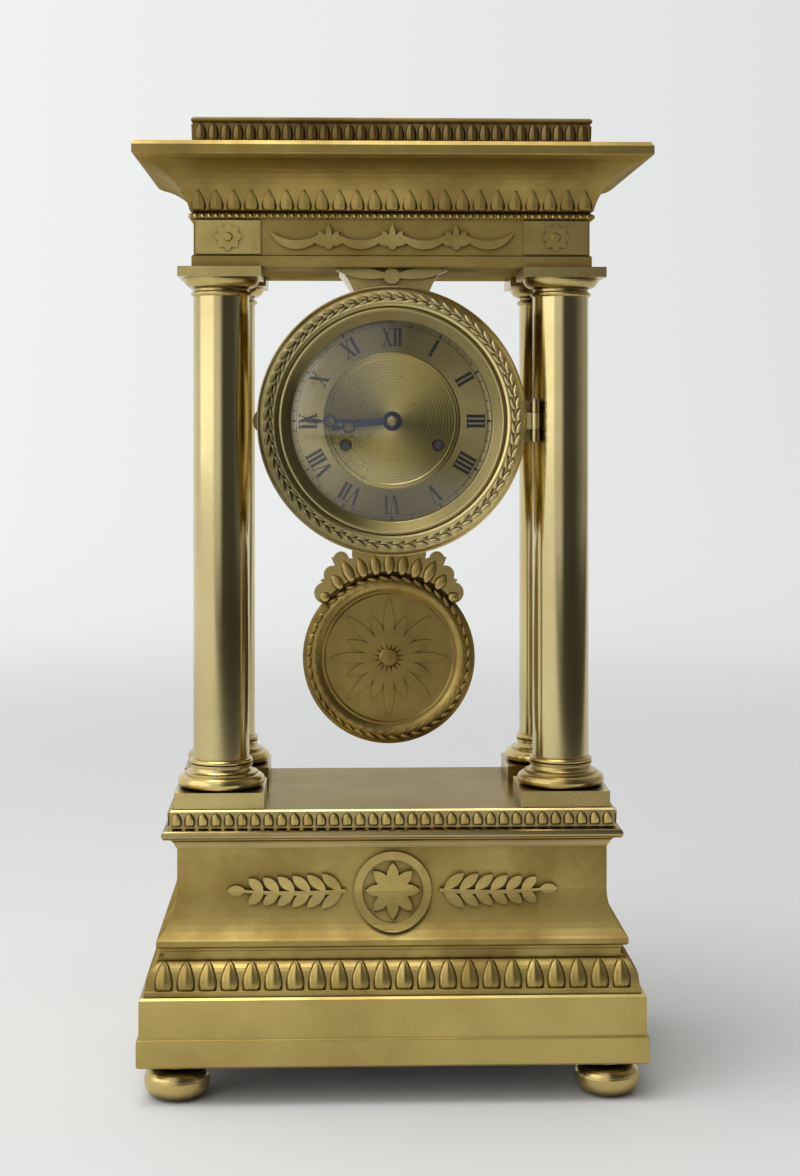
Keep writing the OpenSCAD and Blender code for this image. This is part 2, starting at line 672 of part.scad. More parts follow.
module frieze() color(matte_gilt) difference() {
    field_z = columns_top + architrave_h;
    bead_z = frieze_top - frieze_bead;
    moulded_block(frieze_w, frieze_d, concat(
        [[-0.6, columns_top], [0, columns_top + 0.6], [0, field_z - 0.6], [-frieze_sink, field_z],
         [-frieze_sink, bead_z]],
        bow([-frieze_sink + 0.2, bead_z + 0.2], [-frieze_sink + 0.2, frieze_top - 0.2], frieze_bead / 2 - 0.4, 6),
        [[-frieze_sink, frieze_top]]));
    block(frieze_w - 2 * wall, frieze_d - 2 * wall, columns_top + frieze_floor, frieze_top + past);
    at_corners(column_x, column_y) rod_z(rod_hole_r, columns_top - past, columns_top + frieze_floor + past);
}

// A palmette of five leaves that fan upwards from a small base
module palmette(size) {
    for (a = [18, 54, 90, 126, 162]) rotate(a) leaf(size * (a == 90 ? 1 : 0.84), size * 0.3);
    circle(r = size * 0.2);
}

// Palmettes along the front, joined by hanging garlands
module frieze_ornaments() color(gilt) {
    field = frieze_h - architrave_h - frieze_bead;
    size = field * 0.6;
    bays = 4;
    bay = (frieze_w - 2 * panel_w - 8) / bays;
    y0 = -frieze_d / 2 + frieze_sink;
    translate([0, 0, columns_top + architrave_h + size * 0.46]) along_y(y0 - ornament_t, y0) {
        for (i = [1 - bays / 2:bays / 2 - 1]) translate([i * bay, 0]) palmette(size);
        for (i = [0:bays - 1]) translate([(i + 0.5 - bays / 2) * bay, size / 2])
            polygon(concat(bow([-bay / 2 + 3, 0], [bay / 2 - 3, 0], size * 0.7),
                           bow([bay / 2 - 3, 1.2], [-bay / 2 + 3, 1.2], -size * 0.4)));
    }
}

// Square panels with a rosette, over each front column
module corner_panels() color(gilt) {
    panel_h = frieze_h - architrave_h - frieze_bead;
    y0 = -frieze_d / 2 + frieze_sink;
    for (side = [-1, 1])
        translate([side * (frieze_w / 2 - panel_w / 2 - 2), 0, columns_top + architrave_h + panel_h / 2]) {
            along_y(y0 - frieze_sink, y0) square([panel_w, panel_h - 1], center = true);
            rosette(panel_h * 0.4, 8, ornament_t, y0 - frieze_sink);
        }
}

module cornice() color(matte_gilt) difference() {
    lip_z = cornice_top - cornice_lip_h;
    outline = concat(
        [[-frieze_sink, frieze_top], [0, frieze_top + 0.8]],
        bow([0.4, frieze_top + 1], [cornice_out - 3.5, lip_z - 1.5], -4.2, 10),
        [[cornice_out - 2.5, lip_z - 1], [cornice_out - 0.5, lip_z], [cornice_out, lip_z + 0.6],
         [cornice_out, cornice_top - 2], [cornice_out - 1.4, cornice_top]]);
    moulded_block(frieze_w, frieze_d, outline);
    moulded_block(frieze_w - 2 * wall, frieze_d - 2 * wall, concat(
        [[0, frieze_top - past]],
        bow([0, frieze_top + 4], [cornice_out - wall - 4, lip_z], -2, 6),
        [[cornice_out - wall - 4, cornice_top - cornice_t]]));
}

module attic_block() color(matte_gilt) difference() {
    top = cornice_top + attic_h;
    moulded_block(attic_w, attic_d, concat(
        [[0, cornice_top], [0, cornice_top + 2], [-0.8, cornice_top + 2.6], [-0.8, top - 3]],
        bow([-0.4, top - 2.6], [-0.4, top - 0.4], 0.7, 4), [[-0.8, top]]));
    block(attic_w - 2 * wall, attic_d - 2 * wall, cornice_top - past, top - cornice_t);
}

// Saddle that hangs the drum from the frieze's floor, with two leaves and a boss on its front
module drum_bracket() color(gilt) difference() {
    crown_z = dial_z + drum_r;
    boss_r = 4;
    y0 = -drum_front + flange_t + 2;
    union() {
        along_y(y0, y0 + bracket_d) polygon(concat(
            bow([bracket_low_w / 2, crown_z - 6], [bracket_w / 2, columns_top], -2.5),
            bow([-bracket_w / 2, columns_top], [-bracket_low_w / 2, crown_z - 6], -2.5)));
        translate([0, 0, columns_top - boss_r]) along_y(y0 - 4, y0 + past) {
            circle(r = boss_r);
            for (side = [0, 1]) mirror([side, 0]) rotate(6) leaf(bracket_w / 2 + 2, 5.5);
        }
    }
    rod_y(drum_r + seat, y0 - past, y0 + bracket_d + past);
    block(2 * bracket_w, frieze_d, columns_top, frieze_top);
}

// A hinge knuckle on an upright axis at [x, y], with its strip from x0 between y0 and y1
module knuckle(x, y, x0, y0, y1, z0, h) difference() {
    union() {
        translate([x, y, z0]) cylinder(d = knuckle_dia, h = h);
        translate([x0, y0, z0]) cube([x - x0, y1 - y0, h]);
    }
    translate([x, y, z0 - past]) cylinder(d = pin_dia + 2 * running, h = h + 2 * past);
}
// The two outer knuckles of a hinge, on the drum
module outer_knuckles(x, y, y0, y1) for (up = [0, 1])
    knuckle(x, y, flange_r - 1.5, y0, y1, dial_z - hinge_h / 2 + up * (hinge_h - outer_h), outer_h);
// The middle knuckle of a hinge, on a door of radius r
module middle_knuckle(x, y, r, y0, y1)
    knuckle(x, y, r - 1.5, y0, y1, dial_z - hinge_h / 2 + outer_h + free, hinge_h - 2 * outer_h - 2 * free);

module drum() color(matte_gilt) union() {
    difference() {
        turned_y([
            [lip_r, -drum_front], [flange_r, -drum_front], [flange_r, -drum_front + flange_t],
            [drum_r, -drum_front + flange_t], [drum_r, drum_rear - flange_t], [flange_r, drum_rear - flange_t],
            [flange_r, drum_rear], [lip_r, drum_rear], [lip_r, drum_rear - lip_t],
            [drum_bore_r, drum_rear - lip_t], [drum_bore_r, front_y1 + seat_ring_t],
            [seat_ring_r, front_y1 + seat_ring_t], [seat_ring_r, front_y1], [drum_bore_r, front_y1],
            [drum_bore_r, -drum_front + lip_t], [lip_r, -drum_front + lip_t]]);
        translate([-rod_slot_w / 2, pendulum_y - rod_slot_d / 2, dial_z - drum_r - past])
            cube([rod_slot_w, rod_slot_d, drum_wall + 6]);
        for (a = ear_angles)
            rod_y(screw_dia / 2 + running, front_y1 - past, front_y1 + seat_ring_t + past, circle_point(screw_r, a));
    }
    outer_knuckles(hinge_x, hinge_y, -drum_front, -drum_front + strap_t);
    outer_knuckles(rear_hinge_x, rear_hinge_y, drum_rear - strap_t, drum_rear);
}

module bezel() color(gilt) {
    r = bezel_r;
    rebate_r = sight_r + rebate_w;
    lip_y = rim_y - running;
    union() {
        turned_y(concat(
            [[rebate_r, bezel_y1], [r - 0.6, bezel_y1], [r, bezel_y1 - 0.6], [r, bezel_y1 - 2.4]],
            bow([r - 0.6, bezel_y1 - 2.8], [r - 6.5, bezel_y0 + 1], -1.6),
            bow([r - 7, bezel_y0 + 1.4], [r - 10.6, bezel_y0 + 1.4], -1.4),
            bow([r - 11, bezel_y0 + 1.2], [r - 13, bezel_y0 + 1.2], -0.9),
            [[sight_r + 0.4, lip_y - 1.1], [sight_r, lip_y - 0.7], [sight_r, lip_y], [rebate_r, lip_y]]));
        middle_knuckle(hinge_x, hinge_y, r, bezel_y1 - 2.2, bezel_y1);
        // finger tab opposite the hinge
        on_dial(bezel_y1 - 2, bezel_y1 - 0.4, [-r + 0.4, 0]) polygon(bow([0, 5], [0, -5], 2.4, 10));
    }
}

// Points of a shallow dome from its apex to its rim of radius r at y
function dome(r, rise, y, n = 12) = let (big = (r * r + rise * rise) / (2 * rise), top = asin(r / big))
    [for (i = [0:n]) [big * sin(top * i / n), y - rise + big * (1 - cos(top * i / n))]];

module bezel_glass() color(glass) turned_y(concat(
    dome(sight_r - 0.8 - glass_t / 2, glass_rise, rim_y + glass_t),
    [[sight_r + rebate_w - seat, rim_y + glass_t], [sight_r + rebate_w - seat, rim_y]],
    backwards(dome(sight_r - 0.8, glass_rise, rim_y))));

module hinge_pins() color(steel) for (p = [[hinge_x, hinge_y], [rear_hinge_x, rear_hinge_y]])
    translate([p[0], p[1], dial_z - hinge_h / 2 - 0.6]) union() {
        cylinder(d = pin_dia, h = hinge_h + 0.8);
        translate([0, 0, hinge_h + 0.7]) cylinder(d = knuckle_dia - 0.6, h = 1);
    }

module dial_holes(y0, y1) {
    rod_y(hour_pipe_dia / 2 + free, y0, y1);
    for (at = [at_going, at_strike]) rod_y(winding_dia / 2 + 0.6, y0, y1, at);
}

module dial_plate() color(silvered) difference() {
    r = dial_r;
    recess_y = dial_y0 + centre_sink;
    union() {
        turned_y([[0, recess_y], [centre_dia / 2 + seat, recess_y], [centre_dia / 2 + seat, dial_y0],
                  [r - 0.8, dial_y0], [r, dial_y0 + 0.6], [r, dial_y1], [0, dial_y1]]);
        for (at = dial_foot_places) rod_y(dial_foot_dia / 2, recess_y + 0.1, front_y1, at);
    }
    dial_holes(dial_y0 - past, dial_y1 + past);
    rod_y(regulator_dia / 2 + free, dial_y0 - past, dial_y1 + past, at_regulator);
}

module dial_centre() color(gilt) difference() {
    r = centre_dia / 2;
    turned_y([[0, dial_y0 + 0.1], [r - 3, dial_y0 + 0.1], [r - 2.4, dial_y0 - 0.3], [r - 0.5, dial_y0 - 0.3],
              [r, dial_y0], [r, dial_y0 + centre_sink], [0, dial_y0 + centre_sink]]);
    dial_holes(dial_y0 - past, dial_y1 + past);
}

// A hand along +X: hub, tapering blade, pierced ring and leaf-shaped tip
module hand_shape(length, hub_r, bore_r) difference() {
    ring_r = hand_ring_dia / 2;
    ring_x = length * 0.7;
    union() {
        circle(r = hub_r);
        polygon([[0, -hand_w / 2], [ring_x, -hand_w * 0.32], [ring_x, hand_w * 0.32], [0, hand_w / 2]]);
        translate([ring_x, 0]) circle(r = ring_r);
        translate([ring_x + ring_r - 0.8, 0]) leaf(length - ring_x - ring_r + 0.8, hand_w * 0.9);
    }
    translate([ring_x, 0]) circle(r = ring_r - 1);
    circle(r = bore_r);
}

module minute_hand() color(blued) on_dial(minute_y0, minute_y0 + hand_t) rotate(minute_angle)
    hand_shape(minute_l, cannon_pipe_dia / 2 + 1.6, cannon_pipe_dia / 2 + running);

module hour_hand() color(blued) on_dial(hour_y0, hour_y0 + hand_t) rotate(hour_angle)
    hand_shape(hour_l, hour_pipe_dia / 2 + 1.8, hour_pipe_dia / 2 + running);

module hand_nut() color(brass) turned_y([
    [centre_arbor_dia / 2 + running, minute_y0], [2.6, minute_y0], [2.6, minute_y0 - 0.7],
    [1.9, minute_y0 - 1.5], [centre_arbor_dia / 2 + running, minute_y0 - 1.8]]);

module front_plate() color(brass) union() {
    difference() {
        on_dial(front_y0, front_y1) {
            circle(r = plate_r);
            intersection() {
                circle(r = ear_r);
                for (a = ear_angles) rotate(a) translate([0, -4]) square([2 * ear_r, 8]);
            }
        }
        holes = [[centre_arbor_dia, [at_centre]], [winding_dia, [at_going, at_strike]],
                 [pivot_dia, concat(thin_arbors, [at_anchor])]];
        for (h = holes, at = h[1]) rod_y(h[0] / 2 + running, front_y0 - past, front_y1 + past, at);
        for (at = dial_foot_places) rod_y(dial_foot_dia / 2 + seat, front_y0 - past, front_y1 + past, at);
        for (a = ear_angles)
            rod_y(screw_dia / 2 + running, front_y0 - past, front_y1 + past, circle_point(screw_r, a));
    }
    rod_y(stud_dia / 2, hour_wheel_y - 0.6, front_y0 + past, at_minute);
}

module back_plate() color(brass) difference() {
    rod_y(plate_r, back_y0, back_y1);
    holes = [[pivot_dia, [at_centre, at_middle, at_third, at_escape, at_pin, at_fly]],
             [arbor_dia, [at_anchor, at_count, at_hammer]], [rear_pivot_dia, [at_going, at_strike]]];
    for (h = holes, at = h[1]) rod_y(h[0] / 2 + running, back_y0 - past, back_y1 + past, at);
}

// Turned pillars with a collar at each end and a ring round the middle
module plate_pillars() color(brass) for (at = pillar_places) {
    r = pillar_dia / 2;
    y = (front_y1 + back_y0) / 2;
    turned_y([[0, front_y1], [r, front_y1], [r, front_y1 + 2], [r * 0.7, front_y1 + 3.2], [r * 0.7, y - 1.4],
              [r, y - 0.8], [r, y + 0.8], [r * 0.7, y + 1.4], [r * 0.7, back_y0 - 3.2], [r, back_y0 - 2],
              [r, back_y0], [0, back_y0]], at);
}

module movement_screws() color(steel) for (a = ear_angles) difference() {
    at = circle_point(screw_r, a);
    union() {
        rod_y(screw_dia / 2, front_y0 - 0.5, front_y1 + seat_ring_t, at);
        rod_y(screw_dia * 0.95, front_y0 - 1.3, front_y0, at);
    }
    on_dial(front_y0 - 2, front_y0 - 0.8, at) square([screw_dia * 2, 0.5], center = true);
}

// Outline of a toothed wheel g = [teeth, module], turned by phase
module teeth(g, phase) {
    step = 360 / g[0];
    rotate(phase) polygon([for (i = [0:g[0] - 1]) each [
        circle_point(root_r(g), (i - 0.3) * step), circle_point(tip_r(g), (i - 0.11) * step),
        circle_point(tip_r(g), (i + 0.11) * step), circle_point(root_r(g), (i + 0.3) * step)]]);
}

// Four windows that leave a rim, a hub and four arms
module crossings(rim_r, hub_r, arm_w = 1.5) for (i = [0:3]) rotate(90 * i) {
    a = asin(arm_w / 2 / rim_r);
    b = asin(arm_w / 2 / hub_r);
    polygon(concat(arc(rim_r, a, 90 - a, 10), arc(hub_r, 90 - b, b, 4)));
}

module spoked(g, phase, y0, at) on_dial(y0, y0 + wheel_t, at) difference() {
    teeth(g, phase);
    crossings(root_r(g) - 1.5, 3);
}
module pinion(g, phase, y0, y1, at) on_dial(y0, y1, at) teeth(g, phase);
// An arbor between the plates with a pivot in each
module arbor(at) {
    rod_y(arbor_dia / 2, front_y1 + shake, back_y0 - shake, at);
    rod_y(pivot_dia / 2, front_y0, back_y1, at);
}

module centre_wheel() color(brass) union() {
    rod_y(centre_arbor_dia / 2, minute_y0 - 1.8, back_y0 - shake);
    rod_y(pivot_dia / 2, back_y0 - past, back_y1);
    pinion(centre_pinion, centre_phase, middle_y0 - 0.6, middle_y0 + wheel_t + 0.8, at_centre);
    spoked(centre, centre_phase, centre_y0, at_centre);
}

module cannon_pinion() color(steel) difference() {
    union() {
        rod_y(cannon_pipe_dia / 2, minute_y0, front_y0 - free);
        pinion(cannon, 0, cannon_y, front_y0 - free, at_centre);
    }
    rod_y(centre_arbor_dia / 2 + running, minute_y0 - past, front_y0);
}

module minute_wheel() color(brass) difference() {
    union() {
        spoked(minute, minute_phase, cannon_y + 0.4, at_minute);
        rod_y(3, cannon_y + 0.4, cannon_y + 0.4 + wheel_t, at_minute);
        pinion(minute_pinion, minute_phase, hour_wheel_y - 0.4, cannon_y + 0.5, at_minute);
    }
    rod_y(stud_dia / 2 + running, hour_wheel_y - 2, front_y0, at_minute);
}

module hour_wheel() color(brass) difference() {
    union() {
        pinion(hour, hour_phase, hour_wheel_y, hour_wheel_y + wheel_t, at_centre);
        rod_y(hour_pipe_dia / 2, hour_y0, cannon_y - free);
    }
    rod_y(cannon_pipe_dia / 2 + running, hour_y0 - past, front_y0);
}

// A spring barrel: a drum with its cap and the great wheel at its rear end
module barrel(at) difference() {
    r = barrel_dia / 2;
    union() {
        turned_y([[0, barrel_y0], [r - 2, barrel_y0], [r - 2, barrel_y0 + 0.6], [r, barrel_y0 + 0.6],
                  [r, barrel_y1 + 0.1], [0, barrel_y1 + 0.1]], at);
        pinion(great, 0, barrel_y1, barrel_y1 + great_t, at);
    }
    rod_y(winding_dia / 2 + running, barrel_y0 - past, barrel_y1 + great_t + past, at);
}
// A winding arbor with a square for the key in front of the dial
module winding_arbor(at) union() {
    square_w = winding_dia * 0.62;
    rod_y(winding_dia / 2, dial_y1 + 1, back_y0 - shake, at);
    rod_y(rear_pivot_dia / 2, back_y0 - past, back_y1, at);
    on_dial(dial_y0 - 0.6, dial_y1 + 2, at) square(square_w, center = true);
}
module going_barrel() color(brass) barrel(at_going);
module strike_barrel() color(brass) barrel(at_strike);
module going_arbor() color(steel) winding_arbor(at_going);
module strike_arbor() color(steel) winding_arbor(at_strike);

module intermediate_wheel() color(brass) union() {
    arbor(at_middle);
    pinion(great_pinion, middle_phase, barrel_y1 - 0.6, middle_y0 + 0.1, at_middle);
    spoked(middle, middle_phase, middle_y0, at_middle);
}

module third_wheel() color(brass) union() {
    arbor(at_third);
    pinion(third_pinion, third_phase, centre_y0 - 0.6, centre_y0 + wheel_t + 0.6, at_third);
    spoked(third, third_phase, third_y0, at_third);
}

module escape_wheel() color(brass) union() {
    r = escape_dia / 2;
    step = 360 / escape_teeth;
    arbor(at_escape);
    pinion(escape_pinion, escape_phase, third_y0 - 0.6, third_y0 + wheel_t + 0.6, at_escape);
    on_dial(escape_y0, escape_y0 + wheel_t, at_escape) difference() {
        polygon([for (i = [0:escape_teeth - 1]) each [
            circle_point(r - 1.5, i * step), circle_point(r, (i + 0.1) * step), circle_point(r, (i + 0.22) * step),
            circle_point(r - 1.5, (i + 0.7) * step)]]);
        crossings(r - 2.8, 2.4, 1.2);
    }
}

// Arbor with the two-armed anchor over the escape wheel and the crutch behind the back plate
module anchor() color(steel) union() {
    r = escape_dia / 2;
    pallet_clear = r * sin(swing) + free;
    rod_y(arbor_dia / 2, front_y1 + shake, crutch_y + 1.4, at_anchor);
    rod_y(pivot_dia / 2, front_y0, front_y1 + past, at_anchor);
    on_dial(escape_y0 - 0.2, escape_y0 + wheel_t + 0.2, at_anchor) difference() {
        union() {
            circle(r = 2.4);
            polygon(concat(bow([-r, -r * 0.6], [r, -r * 0.6], -r * 0.85, 12),
                           bow([r * 0.78, -r * 0.76], [-r * 0.78, -r * 0.76], r * 0.57, 12)));
        }
        translate([0, -escape_reach]) circle(r = r + pallet_clear);
    }
    on_dial(crutch_y, crutch_y + 1.4, at_anchor) {
        circle(r = 2.2);
        translate([-1, -crutch_l]) square([2, crutch_l]);
    }
    for (side = [-1, 1]) translate([side * (pendulum_rod_dia / 2 + free + 0.6) - 0.6, crutch_y, axis_z - crutch_l])
        cube([1.2, pendulum_y - crutch_y + pendulum_rod_dia / 2 + 1, 2]);
    on_dial(crutch_y, crutch_y + 1.4, at_anchor) translate([0, -crutch_l + 1])
        square([pendulum_rod_dia + 2 * free + 2.4, 2], center = true);
}

// Cock on the back plate, with two chops from which the pendulum hangs
module suspension_cock() color(brass) difference() {
    arm_z = anchor_up + 3;
    arm_h = regulator_up + regulator_dia / 2 + 1.6 - arm_z;
    union() {
        on_dial(back_y1, back_y1 + 2.2, [0, anchor_up - 6]) translate([-8, 0]) square([16, 9 + arm_h]);
        on_dial(back_y1, pendulum_y + 3.5, [0, arm_z]) translate([-4, 0]) square([8, arm_h]);
        on_dial(pendulum_y - 3, pendulum_y + 3, [0, anchor_up + running]) translate([-3, 0]) square([6, 4]);
    }
    rod_y(arbor_dia / 2 + running, back_y1 - past, back_y1 + 3, at_anchor);
    rod_y(regulator_dia / 2 + running, back_y1 - past, pendulum_y, at_regulator);
}

// Two suspension strips, the block that they are pinned in, and the rod down into the bob
module pendulum_rod() color(brass) union() {
    hook_z = axis_z - spring_l - hook_h;
    for (y = [-3, 1]) translate([-spring_t / 2, pendulum_y + y, axis_z - spring_l - 1]) cube([spring_t, 2, spring_l + 1]);
    translate([-3, pendulum_y - 3, hook_z]) cube([6, 6, hook_h]);
    translate([0, pendulum_y, bob_z]) cylinder(d = pendulum_rod_dia, h = hook_z - bob_z + past);
}

// Bob: a moulded ring round a sunk field with a many-leaved rosette, and a swelling back
module pendulum_bob() color(gilt) difference() {
    at = [0, bob_z - dial_z];
    inner_r = bob_r - bob_ring_w;
    field_y = pendulum_y - pendulum_rod_dia / 2 - 0.9;
    front_y = pendulum_y - bob_t / 2;
    union() {
        turned_y(concat(
            [[0, field_y - 2], [4, field_y - 1.8], [5.4, field_y - 0.6], [5.6, field_y], [inner_r - 2, field_y],
             [inner_r - 1, field_y - 0.8]],
            bow([inner_r, field_y - 0.8], [bob_r - 1.6, pendulum_y - 1.6], field_y - front_y, 12),
            [[bob_r, pendulum_y - 1.2], [bob_r, pendulum_y + 1.2]],
            bow([bob_r - 1, pendulum_y + 1.6], [0, pendulum_y + bob_t / 2], 1.2, 10)), at);
        on_dial(field_y - 0.9, field_y + 0.1, at) for (i = [0:15])
            rotate(22.5 * i) translate([4, 0]) leaf(inner_r - 8 - (i % 2) * 7, 5.4);
    }
    translate([0, pendulum_y, bob_z - seat]) cylinder(d = pendulum_rod_dia + 2 * seat, h = bob_r + past);
}

// Spray of leaves between scrolls that stands on the bob in front of the rod
module bob_crest() color(gilt) {
    y1 = pendulum_y - pendulum_rod_dia / 2 - seat;
    foot = bob_r - 12;
    scrolls = [[foot + 0.5, 1, 5.5], [foot - 3.5, 10.5, 4.6], [foot - 8, 18.5, 4]];
    leaf_l = bob_r - 9;
    along_y(y1 - 2.8, y1) difference() {
        translate([0, bob_z + foot]) {
            for (side = [0, 1]) mirror([side, 0]) {
                for (a = [-8, 12, 33, 54, 75]) rotate(a) translate([2, 0]) leaf(leaf_l - abs(a - 20) * 0.16, 13);
                for (s = scrolls) translate([s[0], s[1]]) circle(r = s[2]);
            }
            rotate(90) leaf(crest_h + 12, 12);
            polygon([[-24, -6], [24, -6], [17, crest_h + 4], [-17, crest_h + 4]]);
        }
        translate([0, bob_z]) circle(r = bob_r + seat);
    }
}

// Wheel on the arbor that turns once in twelve hours
module strike_wheel() color(brass) union() {
    arbor(at_count);
    rod_y(arbor_dia / 2, back_y0 - past, back_y1 + 2.4, at_count);
    pinion(great_pinion, count_phase, barrel_y1 - 0.6, middle_y0 + 0.1, at_count);
    spoked(strike_set, count_phase, middle_y0, at_count);
}

// Notched wheel that counts the strokes: a notch after each hour and its half hour
module count_wheel() color(steel) on_dial(back_y1 + 0.6, back_y1 + 1.8, at_count) difference() {
    r = 13;
    stroke = 360 / 90;
    circle(r = r);
    circle(r = arbor_dia / 2 + running);
    for (k = [0:11]) rotate(stroke * (k * (k + 1) / 2 + k)) translate([r - 1.6, -0.6]) square([3, 1.2]);
    crossings(r - 3.6, 3);
}

module pin_wheel() color(brass) union() {
    arbor(at_pin);
    pinion(pin_pinion, pin_phase, middle_y0 - 0.6, middle_y0 + wheel_t + 0.6, at_pin);
    spoked(pin_set, pin_phase, centre_y0, at_pin);
    for (i = [0:9]) rod_y(lifter_dia / 2, centre_y0 + 0.2, centre_y0 + wheel_t + 1.6,
        at_pin + circle_point(pin_ring_r, 36 * i));
}

module fly() color(brass) union() {
    arbor(at_fly);
    pinion(fly_pinion, fly_phase, centre_y0 - 0.6, centre_y0 + wheel_t + 0.6, at_fly);
    on_dial(fly_y0, fly_y0 + fan_l, at_fly) square([2 * fan_r, 0.8], center = true);
}

// Hammer: its tail ends just outside the ring of pins and its head just off the bell
module hammer() color(steel) union() {
    tail_l = norm(at_pin - at_hammer) - pin_ring_r - lifter_dia / 2 - free;
    rod_y(pivot_dia / 2, front_y0, front_y1 + past, at_hammer);
    rod_y(arbor_dia / 2, front_y1 + shake, hammer_y + 2.4, at_hammer);
    on_dial(hammer_y, hammer_y + 1.6, at_hammer) {
        circle(r = 2.2);
        rotate(atan2(hammer_head[1], hammer_head[0])) translate([0, -0.8]) square([norm(hammer_head), 1.6]);
    }
    rod_y(4, hammer_y - 1.6, hammer_y + 3.2, at_hammer + hammer_head);
    on_dial(hammer_tail_y, hammer_tail_y + 1.2, at_hammer) {
        circle(r = 2);
        rotate(bearing(at_hammer, at_pin)) translate([0, -0.7]) square([tail_l, 1.4]);
    }
}

module bell() color(steel) {
    r = bell_dia / 2;
    crown_y = bell_y0 + bell_h;
    crown_r = 5; // of the flat that the nut bears on
    hole_r = bell_stud_dia / 2 + seat;
    turned_y(concat(
        bow([r, bell_y0], [crown_r, crown_y], bell_h * 0.26, 14),
        [[hole_r, crown_y], [hole_r, crown_y - bell_t]],
        bow([crown_r, crown_y - bell_t], [r - bell_t, bell_y0], -bell_h * 0.235, 14)), at_bell);
}

// Post on the back plate with an arm that carries the bell on a stud and nut
module bell_stand() color(steel) union() {
    crown_y = bell_y0 + bell_h;
    arm_y = crown_y - bell_t - 6;
    post = at_bell + [bell_post_x, 0];
    rod_y(3.6, back_y1, back_y1 + 1.2, post);
    rod_y(1.6, back_y1, arm_y + 3, post);
    on_dial(arm_y, arm_y + 3, at_bell) translate([-3, -1.8]) square([bell_post_x + 5, 3.6]);
    rod_y(bell_stud_dia / 2 + 1, arm_y, crown_y - bell_t - 0.4, at_bell);
    rod_y(bell_stud_dia / 2, arm_y, bell_stud_y, at_bell);
    translate([0, crown_y + running, dial_z + at_bell[1]]) rotate([-90, 0, 0]) cylinder(r = 4, h = 2.2, $fn = 6);
}

module regulator_arbor() color(steel) union() {
    rod_y(regulator_dia / 2, dial_y1 + 1, pendulum_y - 1, at_regulator);
    on_dial(dial_y0 - 1.4, dial_y1 + 2, at_regulator) square(regulator_dia * 0.7, center = true);
}

module rear_door() color(matte_gilt) union() {
    glass_r = sight_r + rebate_w - 1;
    y1 = rear_y0 + rear_t;
    turned_y([[glass_r, rear_y0], [flange_r - 0.6, rear_y0], [flange_r, rear_y0 + 0.6], [flange_r, y1 - 0.8],
              [flange_r - 1.2, y1], [glass_r - 1, y1], [glass_r - 2.4, y1 - 0.6],
              [glass_r - 2.4, rear_y0 + glass_t + running], [glass_r, rear_y0 + glass_t + running]]);
    middle_knuckle(rear_hinge_x, rear_hinge_y, flange_r, rear_y0, rear_y0 + 2.2);
}

module rear_glass() color(glass) rod_y(sight_r + rebate_w - 1 - seat, rear_y0, rear_y0 + glass_t);

feet();
base_plate();
lower_plinth();
leaf_band();
base_die();
base_ornaments();
platform();
column_bases();
shaft([-1, -1]);  // shaft_front_left
shaft([1, -1]);  // shaft_front_right
shaft([-1, 1]);  // shaft_rear_left
shaft([1, 1]);  // shaft_rear_right
capitals();
tie_rods();
tie_nuts();
frieze();
frieze_ornaments();
corner_panels();
cornice();
attic_block();
drum_bracket();
drum();
bezel();
bezel_glass();
hinge_pins();
dial_plate();
dial_centre();
minute_hand();
hour_hand();
hand_nut();
front_plate();
back_plate();
plate_pillars();
movement_screws();
centre_wheel();
cannon_pinion();
minute_wheel();
hour_wheel();
going_barrel();
going_arbor();
intermediate_wheel();
third_wheel();
escape_wheel();
anchor();
suspension_cock();
pendulum_rod();
pendulum_bob();
bob_crest();
strike_barrel();
strike_arbor();
strike_wheel();
count_wheel();
pin_wheel();
fly();
hammer();
bell();
bell_stand();
regulator_arbor();
rear_door();
rear_glass();
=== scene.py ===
# Portico mantel clock: gilt bronze case on four columns, round movement, swinging pendulum.
# The sections follow the clock from the shelf upwards, then the movement and the pendulum,
# and last come the paper it stands on, the room with its lamps, and the camera.
import math
import bmesh
import bpy
from mathutils import Matrix, Vector


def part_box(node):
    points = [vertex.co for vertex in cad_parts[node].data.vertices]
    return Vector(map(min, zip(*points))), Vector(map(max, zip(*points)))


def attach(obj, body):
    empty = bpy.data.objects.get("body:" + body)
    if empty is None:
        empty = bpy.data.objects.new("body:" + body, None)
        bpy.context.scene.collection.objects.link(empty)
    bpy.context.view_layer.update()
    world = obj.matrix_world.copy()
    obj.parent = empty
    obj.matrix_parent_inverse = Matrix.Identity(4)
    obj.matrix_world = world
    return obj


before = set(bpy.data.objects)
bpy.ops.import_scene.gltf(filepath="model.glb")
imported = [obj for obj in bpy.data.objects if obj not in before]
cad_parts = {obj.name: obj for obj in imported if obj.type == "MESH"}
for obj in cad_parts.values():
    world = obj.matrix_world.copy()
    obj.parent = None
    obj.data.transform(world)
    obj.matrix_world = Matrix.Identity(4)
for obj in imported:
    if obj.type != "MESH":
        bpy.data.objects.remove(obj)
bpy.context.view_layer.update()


# ---- Feet -------------------------------------------------------------------------------
# Four bun feet, turned from cast bronze, fire-gilt and burnished with a stone.
# A stud on each one screws into the iron base plate.
def wire(tree, kind, values=(), **settings):
    """Adds a node. Each value is linked when it is a socket, and set when it is not."""
    made = tree.nodes.new(kind)
    for key, value in settings.items():
        setattr(made, key, value)
    for key, value in dict(values).items():
        if isinstance(value, bpy.types.NodeSocket):
            tree.links.new(value, made.inputs[key])
        else:
            made.inputs[key].default_value = value
    return made


def ramp(tree, value, start, end, low=0.0, high=1.0, **settings):
    """Goes from low where the value is at start to high where it is at end."""
    return wire(tree, "ShaderNodeMapRange",
                {"Value": value, "From Min": start, "From Max": end, "To Min": low, "To Max": high},
                **settings).outputs["Result"]


